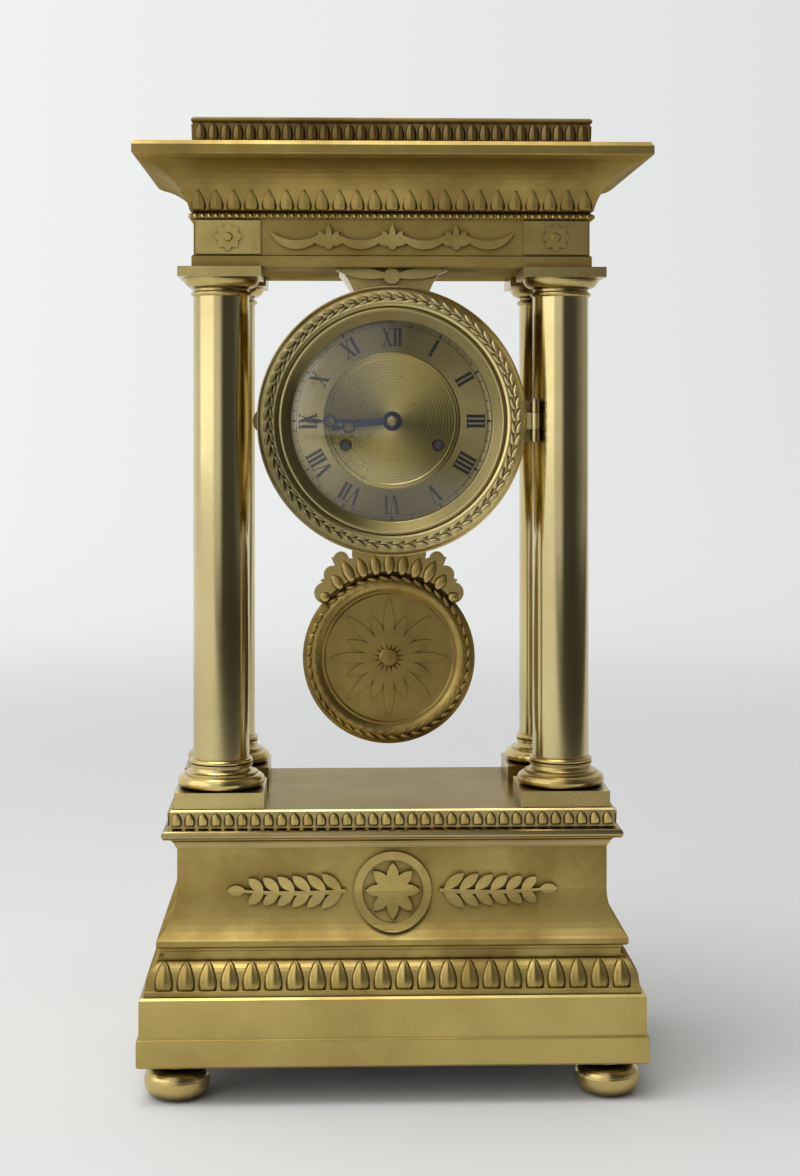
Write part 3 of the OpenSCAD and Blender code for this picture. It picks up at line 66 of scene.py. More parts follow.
def noise(tree, place, scale, detail=2.0, roughness=0.5):
    """A cloudy pattern of numbers round a half."""
    return wire(tree, "ShaderNodeTexNoise",
                {"Vector": place, "Scale": scale, "Detail": detail,
                 "Roughness": roughness}).outputs["Fac"]


def mixed(tree, share, low, high):
    """Blends from one colour to another."""
    return wire(tree, "ShaderNodeMix", {0: share, 6: low, 7: high}, data_type="RGBA").outputs[2]


def blank(name):
    """A new material: with it come its tree, its shader and the place on the piece."""
    made = bpy.data.materials.new(name)
    made.use_nodes = True
    tree = made.node_tree
    place = wire(tree, "ShaderNodeTexCoord").outputs["Object"]
    return made, tree, tree.nodes["Principled BSDF"], place


def metal(name, bright, worn, rough, cloud=18.0, grain=700.0, pit=0.00003, hollow=None,
          edge=(1.0, 1.0, 1.0)):
    """A worked metal: blotches between two colours, uneven gloss, a fine grain, and hollows
    darkened by ambient occlusion: a painted shade that stands also for patina in the crevices.
    Its edge colour is less than white where a matt surface stays dull even at a glance."""
    finish, tree, shader, place = blank(name)
    shader.inputs["Metallic"].default_value = 1.0
    shader.inputs["Specular Tint"].default_value = (*edge, 1)
    blotch = noise(tree, place, cloud, 6.0, 0.62)
    colour = mixed(tree, ramp(tree, blotch, 0.34, 0.62), (*worn, 1), (*bright, 1))
    # Ambient occlusion darkens the hollows towards a near black: painted shade, standing also for
    # patina in the crevices.
    if hollow:
        nook = wire(tree, "ShaderNodeAmbientOcclusion", {"Distance": hollow}, samples=6)
        shade_and_patina = (*(c * 0.28 for c in worn), 1)
        colour = mixed(tree, ramp(tree, nook.outputs["AO"], 0.25, 0.8), shade_and_patina, colour)
    tree.links.new(colour, shader.inputs["Base Color"])
    gloss = ramp(tree, blotch, 0.3, 0.7, rough * 1.35, rough * 0.8)
    tree.links.new(gloss, shader.inputs["Roughness"])
    speck = noise(tree, place, grain, 3.0, 0.6)
    relief = wire(tree, "ShaderNodeBump", {"Height": speck, "Distance": pit, "Strength": 0.6})
    tree.links.new(relief.outputs["Normal"], shader.inputs["Normal"])
    return finish


def dress(finish, *names):
    """Gives CAD nodes their finish."""
    for name in names:
        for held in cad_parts[name].material_slots:
            held.material = finish


burnished_gilt = metal("burnished_gilt", (0.66, 0.52, 0.21), (0.46, 0.34, 0.12), 0.24,
                       hollow=0.008)
dress(burnished_gilt, "feet")

# ---- Base plate and fixings -------------------------------------------------------------
# A sheet of iron closes the base from below. Tie rods run up from it through the hollow
# columns to the frieze, with a plain nut at each end that clamps the whole case together.
bare_iron = metal("bare_iron", (0.19, 0.175, 0.16), (0.11, 0.085, 0.07), 0.52,
                  cloud=40.0, grain=400.0, pit=0.00008)
bright_steel = metal("bright_steel", (0.52, 0.52, 0.53), (0.38, 0.37, 0.36), 0.22,
                     cloud=60.0, grain=1500.0)
dress(bare_iron, "base_plate")
dress(bright_steel, "tie_rods", "tie_nuts")

# ---- Lower plinth -----------------------------------------------------------------------
# A plain cast frame with a step round its foot, gilt and burnished on its flat faces.
# Handling has left the gilding in soft clouds of paler and browner metal.
plain_gilt = metal("plain_gilt", (0.55, 0.425, 0.14), (0.43, 0.32, 0.096), 0.32,
                   cloud=14.0, grain=500.0, pit=0.00004, hollow=0.008)
dress(plain_gilt, "lower_plinth")

# ---- Leaf band --------------------------------------------------------------------------
# A convex moulding that draws in over the plinth, cast in matt gilt bronze.
# Upright water leaves with a rib down each middle stand side by side on all four faces.
dull_edge = (0.45, 0.39, 0.27)
matt_gilt = metal("matt_gilt", (0.48, 0.355, 0.115), (0.32, 0.225, 0.066), 0.40,
                  cloud=24.0, grain=900.0, pit=0.00006, hollow=0.005, edge=dull_edge)
dress(matt_gilt, "leaf_band")


def placed(name, data):
    """Puts a mesh, a lamp or a camera into the scene."""
    made = bpy.data.objects.new(name, data)
    bpy.context.scene.collection.objects.link(made)
    return made


def mesh_of(name, form):
    """Turns a form that is being built into a mesh."""
    mesh = bpy.data.meshes.new(name)
    form.to_mesh(mesh)
    form.free()
    return mesh


def lofted(name, rings):
    """A closed mesh through rings of points, with a fan over each end. Returns its object."""
    form = bmesh.new()
    loops = [[form.verts.new(p) for p in ring] for ring in rings]
    count = len(rings[0])
    for low, high in zip(loops, loops[1:]):
        for i in range(count):
            after = (i + 1) % count
            form.faces.new((low[i], low[after], high[after], high[i]))
    for loop in (loops[0], loops[-1]):
        middle = form.verts.new(sum((v.co for v in loop), Vector()) / count)
        for i in range(count):
            form.faces.new((loop[i], loop[(i + 1) % count], middle))
    bmesh.ops.recalc_face_normals(form, faces=form.faces)
    return placed(name, mesh_of(name, form))


def carved_leaf(name, length, width, relief, lean=0.0, bulge=0.0, stations=7, blunt=0.55):
    """A leaf that stands up from its foot on a wall facing -Y: lean is how far its tip goes
    forward, and bulge how far its middle stands out of the straight line."""
    section = ((-1, 0), (-0.55, 0.95), (-0.14, 0.55), (0, 1.05), (0.14, 0.55), (0.55, 0.95), (1, 0))
    rings = []
    for i in range(stations + 1):
        t = i / stations
        taper = (1 - t ** 2.4) ** blunt * (0.80 + 0.20 * math.sin(math.pi * t))
        half = width / 2 * max(0.08, taper)
        out = -lean * t - bulge * 4 * t * (1 - t)
        swell = relief * (0.55 + 0.45 * math.sin(math.pi * t)) + relief * 0.9 * t ** 3
        z = length * t
        front = [(half * across, out - swell * rise, z) for across, rise in section]
        rings.append(front + [(0, out + relief, z)])
    return lofted(name, rings)


def maths(tree, operation, *values):
    """One step of arithmetic with sockets or numbers."""
    return wire(tree, "ShaderNodeMath", dict(enumerate(values)), operation=operation).outputs[0]


def open_tree(name, *inputs):
    """Starts a tree that repeats an ornament. Returns it, its inputs and the ornament's shape."""
    tree = bpy.data.node_groups.new(name, "GeometryNodeTree")
    for label, kind in (("Ornament", "Object"), ("Material", "Material"), *inputs):
        tree.interface.new_socket(label, in_out="INPUT", socket_type="NodeSocket" + kind)
    tree.interface.new_socket("Geometry", in_out="OUTPUT", socket_type="NodeSocketGeometry")
    given = wire(tree, "NodeGroupInput").outputs
    ornament = wire(tree, "GeometryNodeObjectInfo", {"Object": given["Ornament"]})
    return tree, given, ornament.outputs["Geometry"]


def close_tree(tree, shape, finish):
    """Ends a tree with real meshes, smooth shading and a material."""
    real = wire(tree, "GeometryNodeRealizeInstances", {"Geometry": shape})
    soft = wire(tree, "GeometryNodeSetShadeSmooth", {"Geometry": real.outputs[0]})
    done = wire(tree, "GeometryNodeSetMaterial", {"Geometry": soft.outputs[0], "Material": finish})
    wire(tree, "NodeGroupOutput", {0: done.outputs[0]})
    return tree


def four_sided_row():
    """A tree that sets an ornament side by side along the four faces of a block."""
    tree, given, ornament = open_tree(
        "four_sided_row", ("Width", "Float"), ("Depth", "Float"), ("Height", "Float"),
        ("Across", "Int"), ("Deep", "Int"), ("Margin", "Float"))
    rows = []
    for turns in range(4):
        length, stand, count = (("Width", "Depth", "Across"), ("Depth", "Width", "Deep"))[turns % 2]
        run = maths(tree, "SUBTRACT", given[length], maths(tree, "MULTIPLY", given["Margin"], 2.0))
        pitch = maths(tree, "DIVIDE", run, given[count])
        first = maths(tree, "MULTIPLY", maths(tree, "SUBTRACT", pitch, run), 0.5)
        wall = maths(tree, "MULTIPLY", given[stand], -0.5)
        start = wire(tree, "ShaderNodeCombineXYZ", {"X": first, "Y": wall, "Z": given["Height"]})
        step = wire(tree, "ShaderNodeCombineXYZ", {"X": pitch})
        line = wire(tree, "GeometryNodeMeshLine",
                    {"Count": given[count], "Start Location": start.outputs[0],
                     "Offset": step.outputs[0]})
        row = wire(tree, "GeometryNodeInstanceOnPoints",
                   {"Points": line.outputs[0], "Instance": ornament})
        rows.append(wire(tree, "GeometryNodeTransform",
                         {"Geometry": row.outputs[0], "Rotation": (0, 0, turns * math.pi / 2)}))
    joined = tree.nodes.new("GeometryNodeJoinGeometry")
    for row in reversed(rows):
        tree.links.new(row.outputs[0], joined.inputs[0])
    return close_tree(tree, joined.outputs[0], given["Material"])


def grown(name, tree, body, sizes):
    """Runs a tree once, and keeps what it makes as one plain mesh that rides on a body."""
    piece = placed(name, bpy.data.meshes.new(name))
    modifier = piece.modifiers.new("growth", "NODES")
    modifier.node_group = tree
    for socket in tree.interface.items_tree:
        if socket.in_out == "INPUT":
            modifier[socket.identifier] = sizes[socket.name]
    bpy.context.view_layer.update()
    shown = piece.evaluated_get(bpy.context.evaluated_depsgraph_get())
    mesh = bpy.data.meshes.new_from_object(shown)
    piece.modifiers.remove(modifier)
    piece.data = mesh
    bpy.data.objects.remove(sizes["Ornament"])
    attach(piece, body)


side_row = four_sided_row()


def row_round(name, finish, ornament, block, inset, height, across, deep, margin):
    """Sets ornaments along the faces of a block of the case, each face moved in by the inset."""
    low, high = block
    grown(name, side_row, "case",
          {"Ornament": ornament, "Material": finish, "Width": high.x - low.x - 2 * inset,
           "Depth": high.y - low.y - 2 * inset, "Height": height, "Across": across,
           "Deep": deep, "Margin": margin})


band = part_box("leaf_band")
water_leaf = carved_leaf("water_leaf", length=0.0130, width=0.0104, relief=0.0009,
                         lean=-0.0062, bulge=0.0017)
row_round("band_leaves", matt_gilt, water_leaf, band, inset=0.0008,
          height=band[0].z + 0.0029, across=22, deep=13, margin=0.0035)

# ---- Die and its mounts -----------------------------------------------------------------
# The tall middle of the base with a flared foot. Its ground is matted with a punch.
# The wreath and the leaf sprays on its front are separate chased mounts, screwed from inside.
dead_gilt = metal("dead_gilt", (0.50, 0.37, 0.12), (0.34, 0.235, 0.066), 0.46,
                  cloud=20.0, grain=1400.0, pit=0.00009, hollow=0.006, edge=dull_edge)
chased_gilt = metal("chased_gilt", (0.62, 0.475, 0.17), (0.42, 0.30, 0.09), 0.30,
                    cloud=30.0, grain=900.0, pit=0.00003, hollow=0.0035)
dress(dead_gilt, "base_die")
dress(chased_gilt, "base_ornaments")

# ---- Platform ---------------------------------------------------------------------------
# The slab that the columns stand on, with a moulded lip. Small tongues are cast along the
# upper step, and the flat top is polished so that the pendulum is mirrored in it.
polished_gilt = metal("polished_gilt", (0.48, 0.38, 0.17), (0.38, 0.29, 0.12), 0.18,
                      cloud=16.0, grain=300.0, pit=0.00002, hollow=0.008,
                      edge=(0.60, 0.56, 0.46))
dress(polished_gilt, "platform")
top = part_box("platform")
lip_stands_out = 0.0031
tongue = carved_leaf("tongue", length=0.0062, width=0.0054, relief=0.0005, stations=5, blunt=0.35)
row_round("platform_tongues", chased_gilt, tongue, top, inset=lip_stands_out,
          height=top[1].z - 0.0078, across=34, deep=19, margin=0.001)

# ---- Columns ----------------------------------------------------------------------------
# Four plain tubes, polished and gilt, between turned bases and capitals.
# Each shaft is centred on short spigots and held by the tie rod inside it.
column_gilt = metal("column_gilt", (0.67, 0.56, 0.28), (0.57, 0.46, 0.21), 0.15,
                    cloud=12.0, grain=400.0, pit=0.00002, hollow=0.006)
dress(column_gilt, "shaft_front_left", "shaft_front_right", "shaft_rear_left", "shaft_rear_right")
dress(burnished_gilt, "column_bases", "capitals")

# ---- Frieze -----------------------------------------------------------------------------
# A hollow box with a sunk, matted field under the cornice. Palmettes and garlands are
# pinned to the front, with a rosette panel above each column.
dress(dead_gilt, "frieze")
dress(chased_gilt, "frieze_ornaments", "corner_panels")
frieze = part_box("frieze")


def ball(name, size, levels, sides=8):
    """A small turned ball, from its widths and heights as shares of its radius."""
    turns = [2 * math.pi * k / sides for k in range(sides)]
    return lofted(name, [[(size * wide * math.cos(a), size * wide * math.sin(a), size * high)
                          for a in turns] for wide, high in levels])


ball_top = ((1, 0), (0.8, 0.6), (0.35, 0.93))
bead = ball("bead", 0.0013, ((0.35, -0.93), (0.8, -0.6), *ball_top))
row_round("frieze_beads", chased_gilt, bead, frieze, inset=0.0,
          height=frieze[1].z - 0.0018, across=58, deep=30, margin=0.001)

# ---- Cornice ----------------------------------------------------------------------------
# A deep hollow crown that flares out to an upright lip, gilt matt and left plain above.
# A row of small leaves is cast round its foot, with their tips turned forward.
# The crown's gilt is painted a little darker than the matt gilt, and its hollows are darkened over
# a long reach: painted shade on faces that turn down under the lip.
crown_shade_gilt = metal("crown_shade_gilt", (0.45, 0.325, 0.10), (0.30, 0.205, 0.06), 0.40,
                    cloud=24.0, grain=900.0, pit=0.00006, hollow=0.030, edge=dull_edge)
dress(crown_shade_gilt, "cornice")
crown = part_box("cornice")
crown_leaf = carved_leaf("crown_leaf", length=0.0092, width=0.0084, relief=0.0007,
                         lean=0.0036, bulge=-0.0006, blunt=0.7)
row_round("crown_leaves", crown_shade_gilt, crown_leaf, frieze, inset=-0.0002,
          height=crown[0].z + 0.0012, across=23, deep=12, margin=0.0)

# ---- Top block --------------------------------------------------------------------------
# A low block closes the cornice. Its sides are cast with upright ribs with rounded heads,
# and its flat top is only filed smooth, because nobody sees it.
# Its gilt is painted far darker than the matt gilt: a painted shade on the top of the case.
attic_shade_gilt = metal("attic_shade_gilt", (0.31, 0.225, 0.08), (0.20, 0.135, 0.045), 0.44,
                  cloud=26.0, grain=900.0, pit=0.00006, hollow=0.006, edge=dull_edge)
dress(attic_shade_gilt, "attic_block")
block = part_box("attic_block")
rib = carved_leaf("rib", length=0.0090, width=0.0058, relief=0.0006, stations=5, blunt=0.3)
row_round("block_ribs", attic_shade_gilt, rib, block, inset=0.0008,
          height=block[0].z + 0.0028, across=32, deep=17, margin=0.001)

# ---- Drum and saddle --------------------------------------------------------------------
# The drum is a tube of rolled brass with a turned flange at each end, gilt outside.
# The leafy saddle over it is cast to its curve and screwed up into the frieze.
dress(burnished_gilt, "drum", "drum_bracket")
dress(bright_steel, "hinge_pins")

# ---- Bezel ------------------------------------------------------------------------------
# A cast and turned ring with a heavy outer roll, hinged at the right and shut by friction.
# The roll is chased with laurel leaves, and a row of beads runs round the glass.
dial_at = Vector((0, 0, 0.330))


def round_dial(tree):
    """The place seen from the dial's centre, its distance, and the angle from three o'clock."""
    place = wire(tree, "ShaderNodeTexCoord").outputs["Object"]
    centred = wire(tree, "ShaderNodeMapping", {"Vector": place, "Location": -dial_at}).outputs[0]
    split = wire(tree, "ShaderNodeSeparateXYZ", {0: centred}).outputs
    flat = wire(tree, "ShaderNodeCombineXYZ", {"X": split[0], "Z": split[2]}).outputs[0]
    radius = wire(tree, "ShaderNodeVectorMath", {0: flat}, operation="LENGTH").outputs["Value"]
    return flat, radius, maths(tree, "ARCTAN2", split[2], split[0])


def paint_sheen_rays(finish, inner, rays, first, dim):
    """Paints a sheen in rays into a metal's colour outside a radius, as painted highlight and
    shade: the colour sinks to the share dim between the rays. The first ray points at an angle from
    three o'clock."""
    tree = finish.node_tree
    base = tree.nodes["Principled BSDF"].inputs["Base Color"]
    _, radius, angle = round_dial(tree)
    wave = maths(tree, "COSINE", maths(tree, "MULTIPLY_ADD", angle, rays, -rays * first))
    outside = ramp(tree, radius, inner - 0.001, inner + 0.001)
    share = wire(tree, "ShaderNodeMix", {0: outside, 2: 0.5, 3: ramp(tree, wave, -1.0, 1.0, dim)})
    sheen_painted = wire(tree, "ShaderNodeVectorMath",
                  {0: base.links[0].from_socket, "Scale": share.outputs[0]}, operation="SCALE")
    tree.links.new(sheen_painted.outputs[0], base)


bezel_gilt = metal("bezel_gilt", (0.96, 0.80, 0.37), (0.84, 0.68, 0.28), 0.34,
                   cloud=30.0, grain=800.0, pit=0.00004, hollow=0.005)
# The roll's colour is written paler than gilt and then painted bright at the right and dim at the
# left: a painted highlight and shade from light at the left.
paint_sheen_rays(bezel_gilt, inner=0.0565, rays=1, first=math.radians(12), dim=0.22)
dress(bezel_gilt, "bezel")


def ring_row():
    """A tree that sets an ornament round a circle that faces -Y; its +X points outwards."""
    tree, given, ornament = open_tree(
        "ring_row", ("Radius", "Float"), ("Count", "Int"), ("Place", "Vector"))
    circle = wire(tree, "GeometryNodeMeshCircle",
                  {"Vertices": given["Count"], "Radius": given["Radius"]})
    order = wire(tree, "GeometryNodeInputIndex").outputs[0]
    turn = maths(tree, "MULTIPLY", order, maths(tree, "DIVIDE", 2 * math.pi, given["Count"]))
    spin = wire(tree, "ShaderNodeCombineXYZ", {"Z": turn}).outputs[0]
    ring = wire(tree, "GeometryNodeInstanceOnPoints",
                {"Points": circle.outputs[0], "Instance": ornament, "Rotation": spin})
    upright = wire(tree, "GeometryNodeTransform",
                   {"Geometry": ring.outputs[0], "Rotation": (math.pi / 2, 0, 0),
                    "Translation": given["Place"]})
    return close_tree(tree, upright.outputs[0], given["Material"])


circle_row = ring_row()


def ring_of(name, body, finish, ornament, radius, count, centre, front):
    """Sets ornaments round a centre, on a face whose Y is given."""
    grown(name, circle_row, body,
          {"Ornament": ornament, "Material": finish, "Radius": radius, "Count": count,
           "Place": centre + Vector((0, front, 0))})


def flat_leaf(name, length, width, relief, skew=0.0, stations=5):
    """A leaf that lies on a ring: it runs along +Y from the origin, and +Z faces the viewer."""
    rings = []
    for i in range(stations + 1):
        t = i / stations
        half = width / 2 * max(0.12, math.sin(math.pi * (0.1 + 0.88 * t)) ** 0.8)
        x, y, rise = skew * t, length * t, relief * (0.5 + 0.5 * math.sin(math.pi * t))
        rings.append([(x - half, y, 0), (x - half * 0.5, y, rise), (x, y, rise * 0.6),
                      (x + half * 0.5, y, rise), (x + half, y, 0), (x, y, -relief)])
    return lofted(name, rings)


roll_radius = 0.0610
roll_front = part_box("bezel")[0].y + 0.0006
for label, skew in (("outer", 0.0014), ("inner", -0.0014)):
    laurel = flat_leaf("laurel", length=0.0056, width=0.0024, relief=0.0005, skew=skew)
    ring_of("bezel_leaves_" + label, "front_door", bezel_gilt, laurel,
            roll_radius + skew * 0.5, 64, dial_at, roll_front)
dot = ball("dot", 0.0008, ((0.9, -0.4), *ball_top))
ring_of("bezel_beads", "front_door", bezel_gilt, dot,
        radius=0.0517, count=150, centre=dial_at, front=-0.0499)

# ---- Glass ------------------------------------------------------------------------------
# A domed glass is held in the bezel by a sprung ring, and a flat one closes the rear door.
# Lamp light passes straight through it, so that the dial behind is lit.
clear_glass, glass_tree, pane, glass_place = blank("clear_glass")
pane.inputs["Transmission Weight"].default_value = 1.0
pane.inputs["IOR"].default_value = 1.45
pane.inputs["Roughness"].default_value = 0.01
pane.inputs["Base Color"].default_value = (0.97, 0.985, 0.975, 1)
streak = noise(glass_tree, glass_place, 26.0)
ripple = wire(glass_tree, "ShaderNodeBump",
              {"Height": streak, "Distance": 0.0002, "Strength": 0.15})
glass_tree.links.new(ripple.outputs["Normal"], pane.inputs["Normal"])
clear = wire(glass_tree, "ShaderNodeBsdfTransparent", {"Color": (0.94, 0.96, 0.95, 1)})
shadow = wire(glass_tree, "ShaderNodeLightPath").outputs["Is Shadow Ray"]
both = wire(glass_tree, "ShaderNodeMixShader", {0: shadow, 1: pane.outputs[0], 2: clear.outputs[0]})
glass_tree.links.new(both.outputs[0], glass_tree.nodes["Material Output"].inputs["Surface"])
dress(clear_glass, "bezel_glass", "rear_glass")

# ---- Dial -------------------------------------------------------------------------------
# The chapter ring is silvered brass, grained in circles, with numerals and a minute track
# filled with black wax. Its gilt middle is cut on a lathe with a pattern of fine waves.
dial_face = -0.0442


def turned(name, bright, worn, rough, rings, rays, sway, depth, sheen):
    """A metal worked round the dial's centre, with fine circles that sway in waves, and with a
    sheen in rays painted into its colour, a painted highlight and shade."""
    finish = metal(name, bright, worn, rough, cloud=30.0, grain=900.0, pit=0.00001)
    paint_sheen_rays(finish, inner=0.0, **sheen)
    tree = finish.node_tree
    shader = tree.nodes["Principled BSDF"]
    flat, radius, angle = round_dial(tree)
    swing = maths(tree, "SINE", maths(tree, "MULTIPLY", angle, rays))
    phase = maths(tree, "MULTIPLY_ADD", swing, sway, maths(tree, "MULTIPLY", radius, rings))
    cut = wire(tree, "ShaderNodeBump",
               {"Height": maths(tree, "SINE", phase), "Distance": depth, "Strength": 1.0})
    tree.links.new(cut.outputs["Normal"], shader.inputs["Normal"])
    around = wire(tree, "ShaderNodeVectorMath", {0: flat, 1: (0, 1, 0)}, operation="CROSS_PRODUCT")
    tree.links.new(around.outputs[0], shader.inputs["Tangent"])
    shader.inputs["Anisotropic"].default_value = 0.8
    return finish


# The chapter ring's colour is painted bright at left and right and dark at top and bottom, and the
# middle's bright at top and bottom and dark at the sides: painted highlight and shade.
silvered = turned("silvered", (0.60, 0.48, 0.215), (0.48, 0.37, 0.145), 0.36,
                  rings=9000.0, rays=1.0, sway=0.1, depth=0.000005,
                  sheen={"rays": 2, "first": math.radians(175), "dim": 0.40})
engine_turned = turned("engine_turned", (0.70, 0.55, 0.20), (0.62, 0.47, 0.15), 0.30,
                       rings=4200.0, rays=48.0, sway=1.2, depth=0.00003,
                       sheen={"rays": 2, "first": math.radians(80), "dim": 0.28})
dress(silvered, "dial_plate")
dress(engine_turned, "dial_centre")

black_wax, wax_tree, wax, wax_place = blank("black_wax")
wax.inputs["Base Color"].default_value = (0.012, 0.011, 0.012, 1)
crumb = noise(wax_tree, wax_place, 1200.0)
wax_tree.links.new(ramp(wax_tree, crumb, 0.0, 1.0, 0.3, 0.6), wax.inputs["Roughness"])

wax_lift, wax_depth, stroke_lift = 0.00006, 0.0001, 0.000002
numeral_foot, numeral_head = 0.0372, 0.0462
thick, thin = 0.00155, 0.00055
serif_reach, serif_rise = 0.00115, 0.0005
letter_widths = {"I": 0.0024, "V": 0.0056, "X": 0.0056}
numerals = ["XII", "I", "II", "III", "IIII", "V", "VI", "VII", "VIII", "IX", "X", "XI"]


def numeral_strokes(word):
    """The strokes of a numeral, each a four-cornered shape in (sideways, up from its foot)."""
    tall = numeral_head - numeral_foot
    at = -sum(letter_widths[c] for c in word) / 2
    shapes = []

    def stroke(x0, x1, width):
        shapes.append([(x0 - width / 2, 0), (x0 + width / 2, 0),
                       (x1 + width / 2, tall), (x1 - width / 2, tall)])

    def serif(x, up):
        near, far = (tall, tall - serif_rise) if up else (0, serif_rise)
        shapes.append([(x - serif_reach, near), (x + serif_reach, near),
                       (x + serif_reach, far), (x - serif_reach, far)])

    for letter in word:
        wide = letter_widths[letter]
        middle = at + wide / 2
        if letter == "I":
            stroke(middle, middle, thick)
            serif(middle, True)
            serif(middle, False)
        elif letter == "V":
            stroke(middle, middle - wide * 0.33, thick)
            stroke(middle + 0.0003, middle + wide * 0.34, thin)
            serif(middle - wide * 0.33, True)
            serif(middle + wide * 0.33, True)
        else:
            stroke(middle + wide * 0.31, middle - wide * 0.31, thick)
            stroke(middle - wide * 0.32, middle + wide * 0.32, thin)
            for side in (-1, 1):
                serif(middle + side * wide * 0.31, True)
                serif(middle + side * wide * 0.31, False)
        at += wide
    return shapes


wax_form = bmesh.new()
for hour, word in enumerate(numerals):
    clock = math.radians(90 - 30 * hour)
    outward = Vector((math.cos(clock), 0, math.sin(clock)))
    along = Vector((math.sin(clock), 0, -math.cos(clock)))
    back = Vector((0, dial_face + wax_depth, 0))
    for level, shape in enumerate(numeral_strokes(word)):
        front = Vector((0, dial_face - wax_lift - stroke_lift * level, 0))
        corners = [dial_at + outward * (numeral_foot + up) + along * x for x, up in shape]
        near = [wax_form.verts.new(c + front) for c in corners]
        far = [wax_form.verts.new(c + back) for c in corners]
        wax_form.faces.new(near)
        wax_form.faces.new(far)
        for i in range(4):
            after = (i + 1) % 4
            wax_form.faces.new((near[i], near[after], far[after], far[i]))
bmesh.ops.recalc_face_normals(wax_form, faces=wax_form.faces)
wax_mesh = mesh_of("numerals", wax_form)
wax_mesh.materials.append(black_wax)
wax_piece = placed("numerals", wax_mesh)
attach(wax_piece, "case")


def bar(name, long, wide, high=0.00016):
    """A flat bar that points outwards on a ring, sunk into it a little deeper than it rises."""
    top_z, foot_z = high * 0.4, high * 0.4 - high
    return lofted(name, [[(x, -wide / 2, top_z), (x, wide / 2, top_z),
                          (x, wide / 2, foot_z), (x, -wide / 2, foot_z)] for x in (0, long)])


for label, count, radius, long, wide in (("minutes", 60, 0.0473, 0.0016, 0.00035),
                                         ("fives", 12, 0.0471, 0.0020, 0.0009)):
    ring_of("track_" + label, "case", black_wax, bar("tick", long, wide),
            radius, count, dial_at, dial_face)
dashes = 180
for label, radius in (("outer", 0.0490), ("inner", 0.0472)):
    dash = bar("dash", 0.00025, 2 * math.pi * radius / dashes + 0.0001)
    ring_of("track_line_" + label, "case", black_wax, dash,
            radius, dashes, dial_at, dial_face)

# ---- Hands ------------------------------------------------------------------------------
# Both hands are pierced and filed from sheet steel and heated to a deep blue.
# A small brass nut holds the minute hand on its pipe.
blued = metal("blued", (0.035, 0.045, 0.11), (0.02, 0.022, 0.05), 0.26, cloud=80.0, grain=1600.0)
dress(blued, "minute_hand", "hour_hand")

# ---- Movement ---------------------------------------------------------------------------
# Two round brass plates held apart by four pillars, with the wheels between them.
# The plates are stoned straight, the wheels are turned and the arbors are polished steel.
worked_brass = metal("worked_brass", (0.70, 0.56, 0.27), (0.55, 0.41, 0.17), 0.28,
                     cloud=70.0, grain=1200.0, pit=0.00003, hollow=0.003)
dress(worked_brass, "front_plate", "back_plate", "plate_pillars", "cannon_pinion", "minute_wheel",
      "hour_wheel", "centre_wheel", "intermediate_wheel", "third_wheel", "escape_wheel",
      "strike_wheel", "count_wheel", "pin_wheel", "fly", "going_barrel", "strike_barrel",
      "hand_nut", "suspension_cock")
dress(bright_steel, "movement_screws", "anchor", "hammer", "bell_stand", "bell")
dark_steel = metal("dark_steel", (0.16, 0.155, 0.15), (0.09, 0.085, 0.08), 0.34,
                   cloud=80.0, grain=1200.0)
dress(dark_steel, "going_arbor", "strike_arbor", "regulator_arbor")

# ---- Pendulum ---------------------------------------------------------------------------
# A steel rod hangs from two thin strips. The bob is a gilt disc with a heavy ring that is
# chased with laurel, and a leaf spray stands over it on the rod.
bob_at = Vector((0, 0, 0.2064))
bob_gilt = metal("bob_gilt", (0.43, 0.31, 0.095), (0.27, 0.18, 0.055), 0.32,
                 cloud=30.0, grain=900.0, pit=0.00004, hollow=0.006)
dress(bright_steel, "pendulum_rod")
dress(bob_gilt, "pendulum_bob")
dress(chased_gilt, "bob_crest")
bob_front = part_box("pendulum_bob")[0].y + 0.0004
for label, radius, skew in (("outer", 0.0410, 0.0013), ("inner", 0.0392, -0.0013)):
    bay_leaf = flat_leaf("bay_leaf", length=0.0054, width=0.0025, relief=0.0006, skew=skew)
    ring_of("bob_leaves_" + label, "pendulum", bob_gilt, bay_leaf,
            radius, 44, bob_at, bob_front)

spray_at = bob_at + Vector((0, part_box("bob_crest")[0].y, 0))
spray_foot = 0.0436
spray_form = bmesh.new()
for reach, slant in ((0.0490, 46.6), (0.0525, 34.4), (0.0560, 25.5), (0.0545, 17.0),
                     (0.0545, 8.5), (0.0550, 0.0)):
    for side in ((-1, 1) if slant else (1,)):
        blade = flat_leaf("spray_leaf", length=reach - spray_foot, width=0.0062, relief=0.0007)
        blade.data.transform(Matrix.Translation(spray_at) @ Matrix.Rotation(math.pi / 2, 4, "X")
                             @ Matrix.Rotation(math.radians(side * slant), 4, "Z")
                             @ Matrix.Translation((0, spray_foot, 0)))
        spray_form.from_mesh(blade.data)
        bpy.data.objects.remove(blade)
spray_mesh = mesh_of("crest_leaves", spray_form)
spray_mesh.shade_smooth()
spray_mesh.materials.append(chased_gilt)
spray = placed("crest_leaves", spray_mesh)
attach(spray, "pendulum")

# ---- Rear door --------------------------------------------------------------------------
# A plain turned ring with a flat glass closes the drum behind the bell.
# It swings on a hinge of its own.
dress(burnished_gilt, "rear_door")

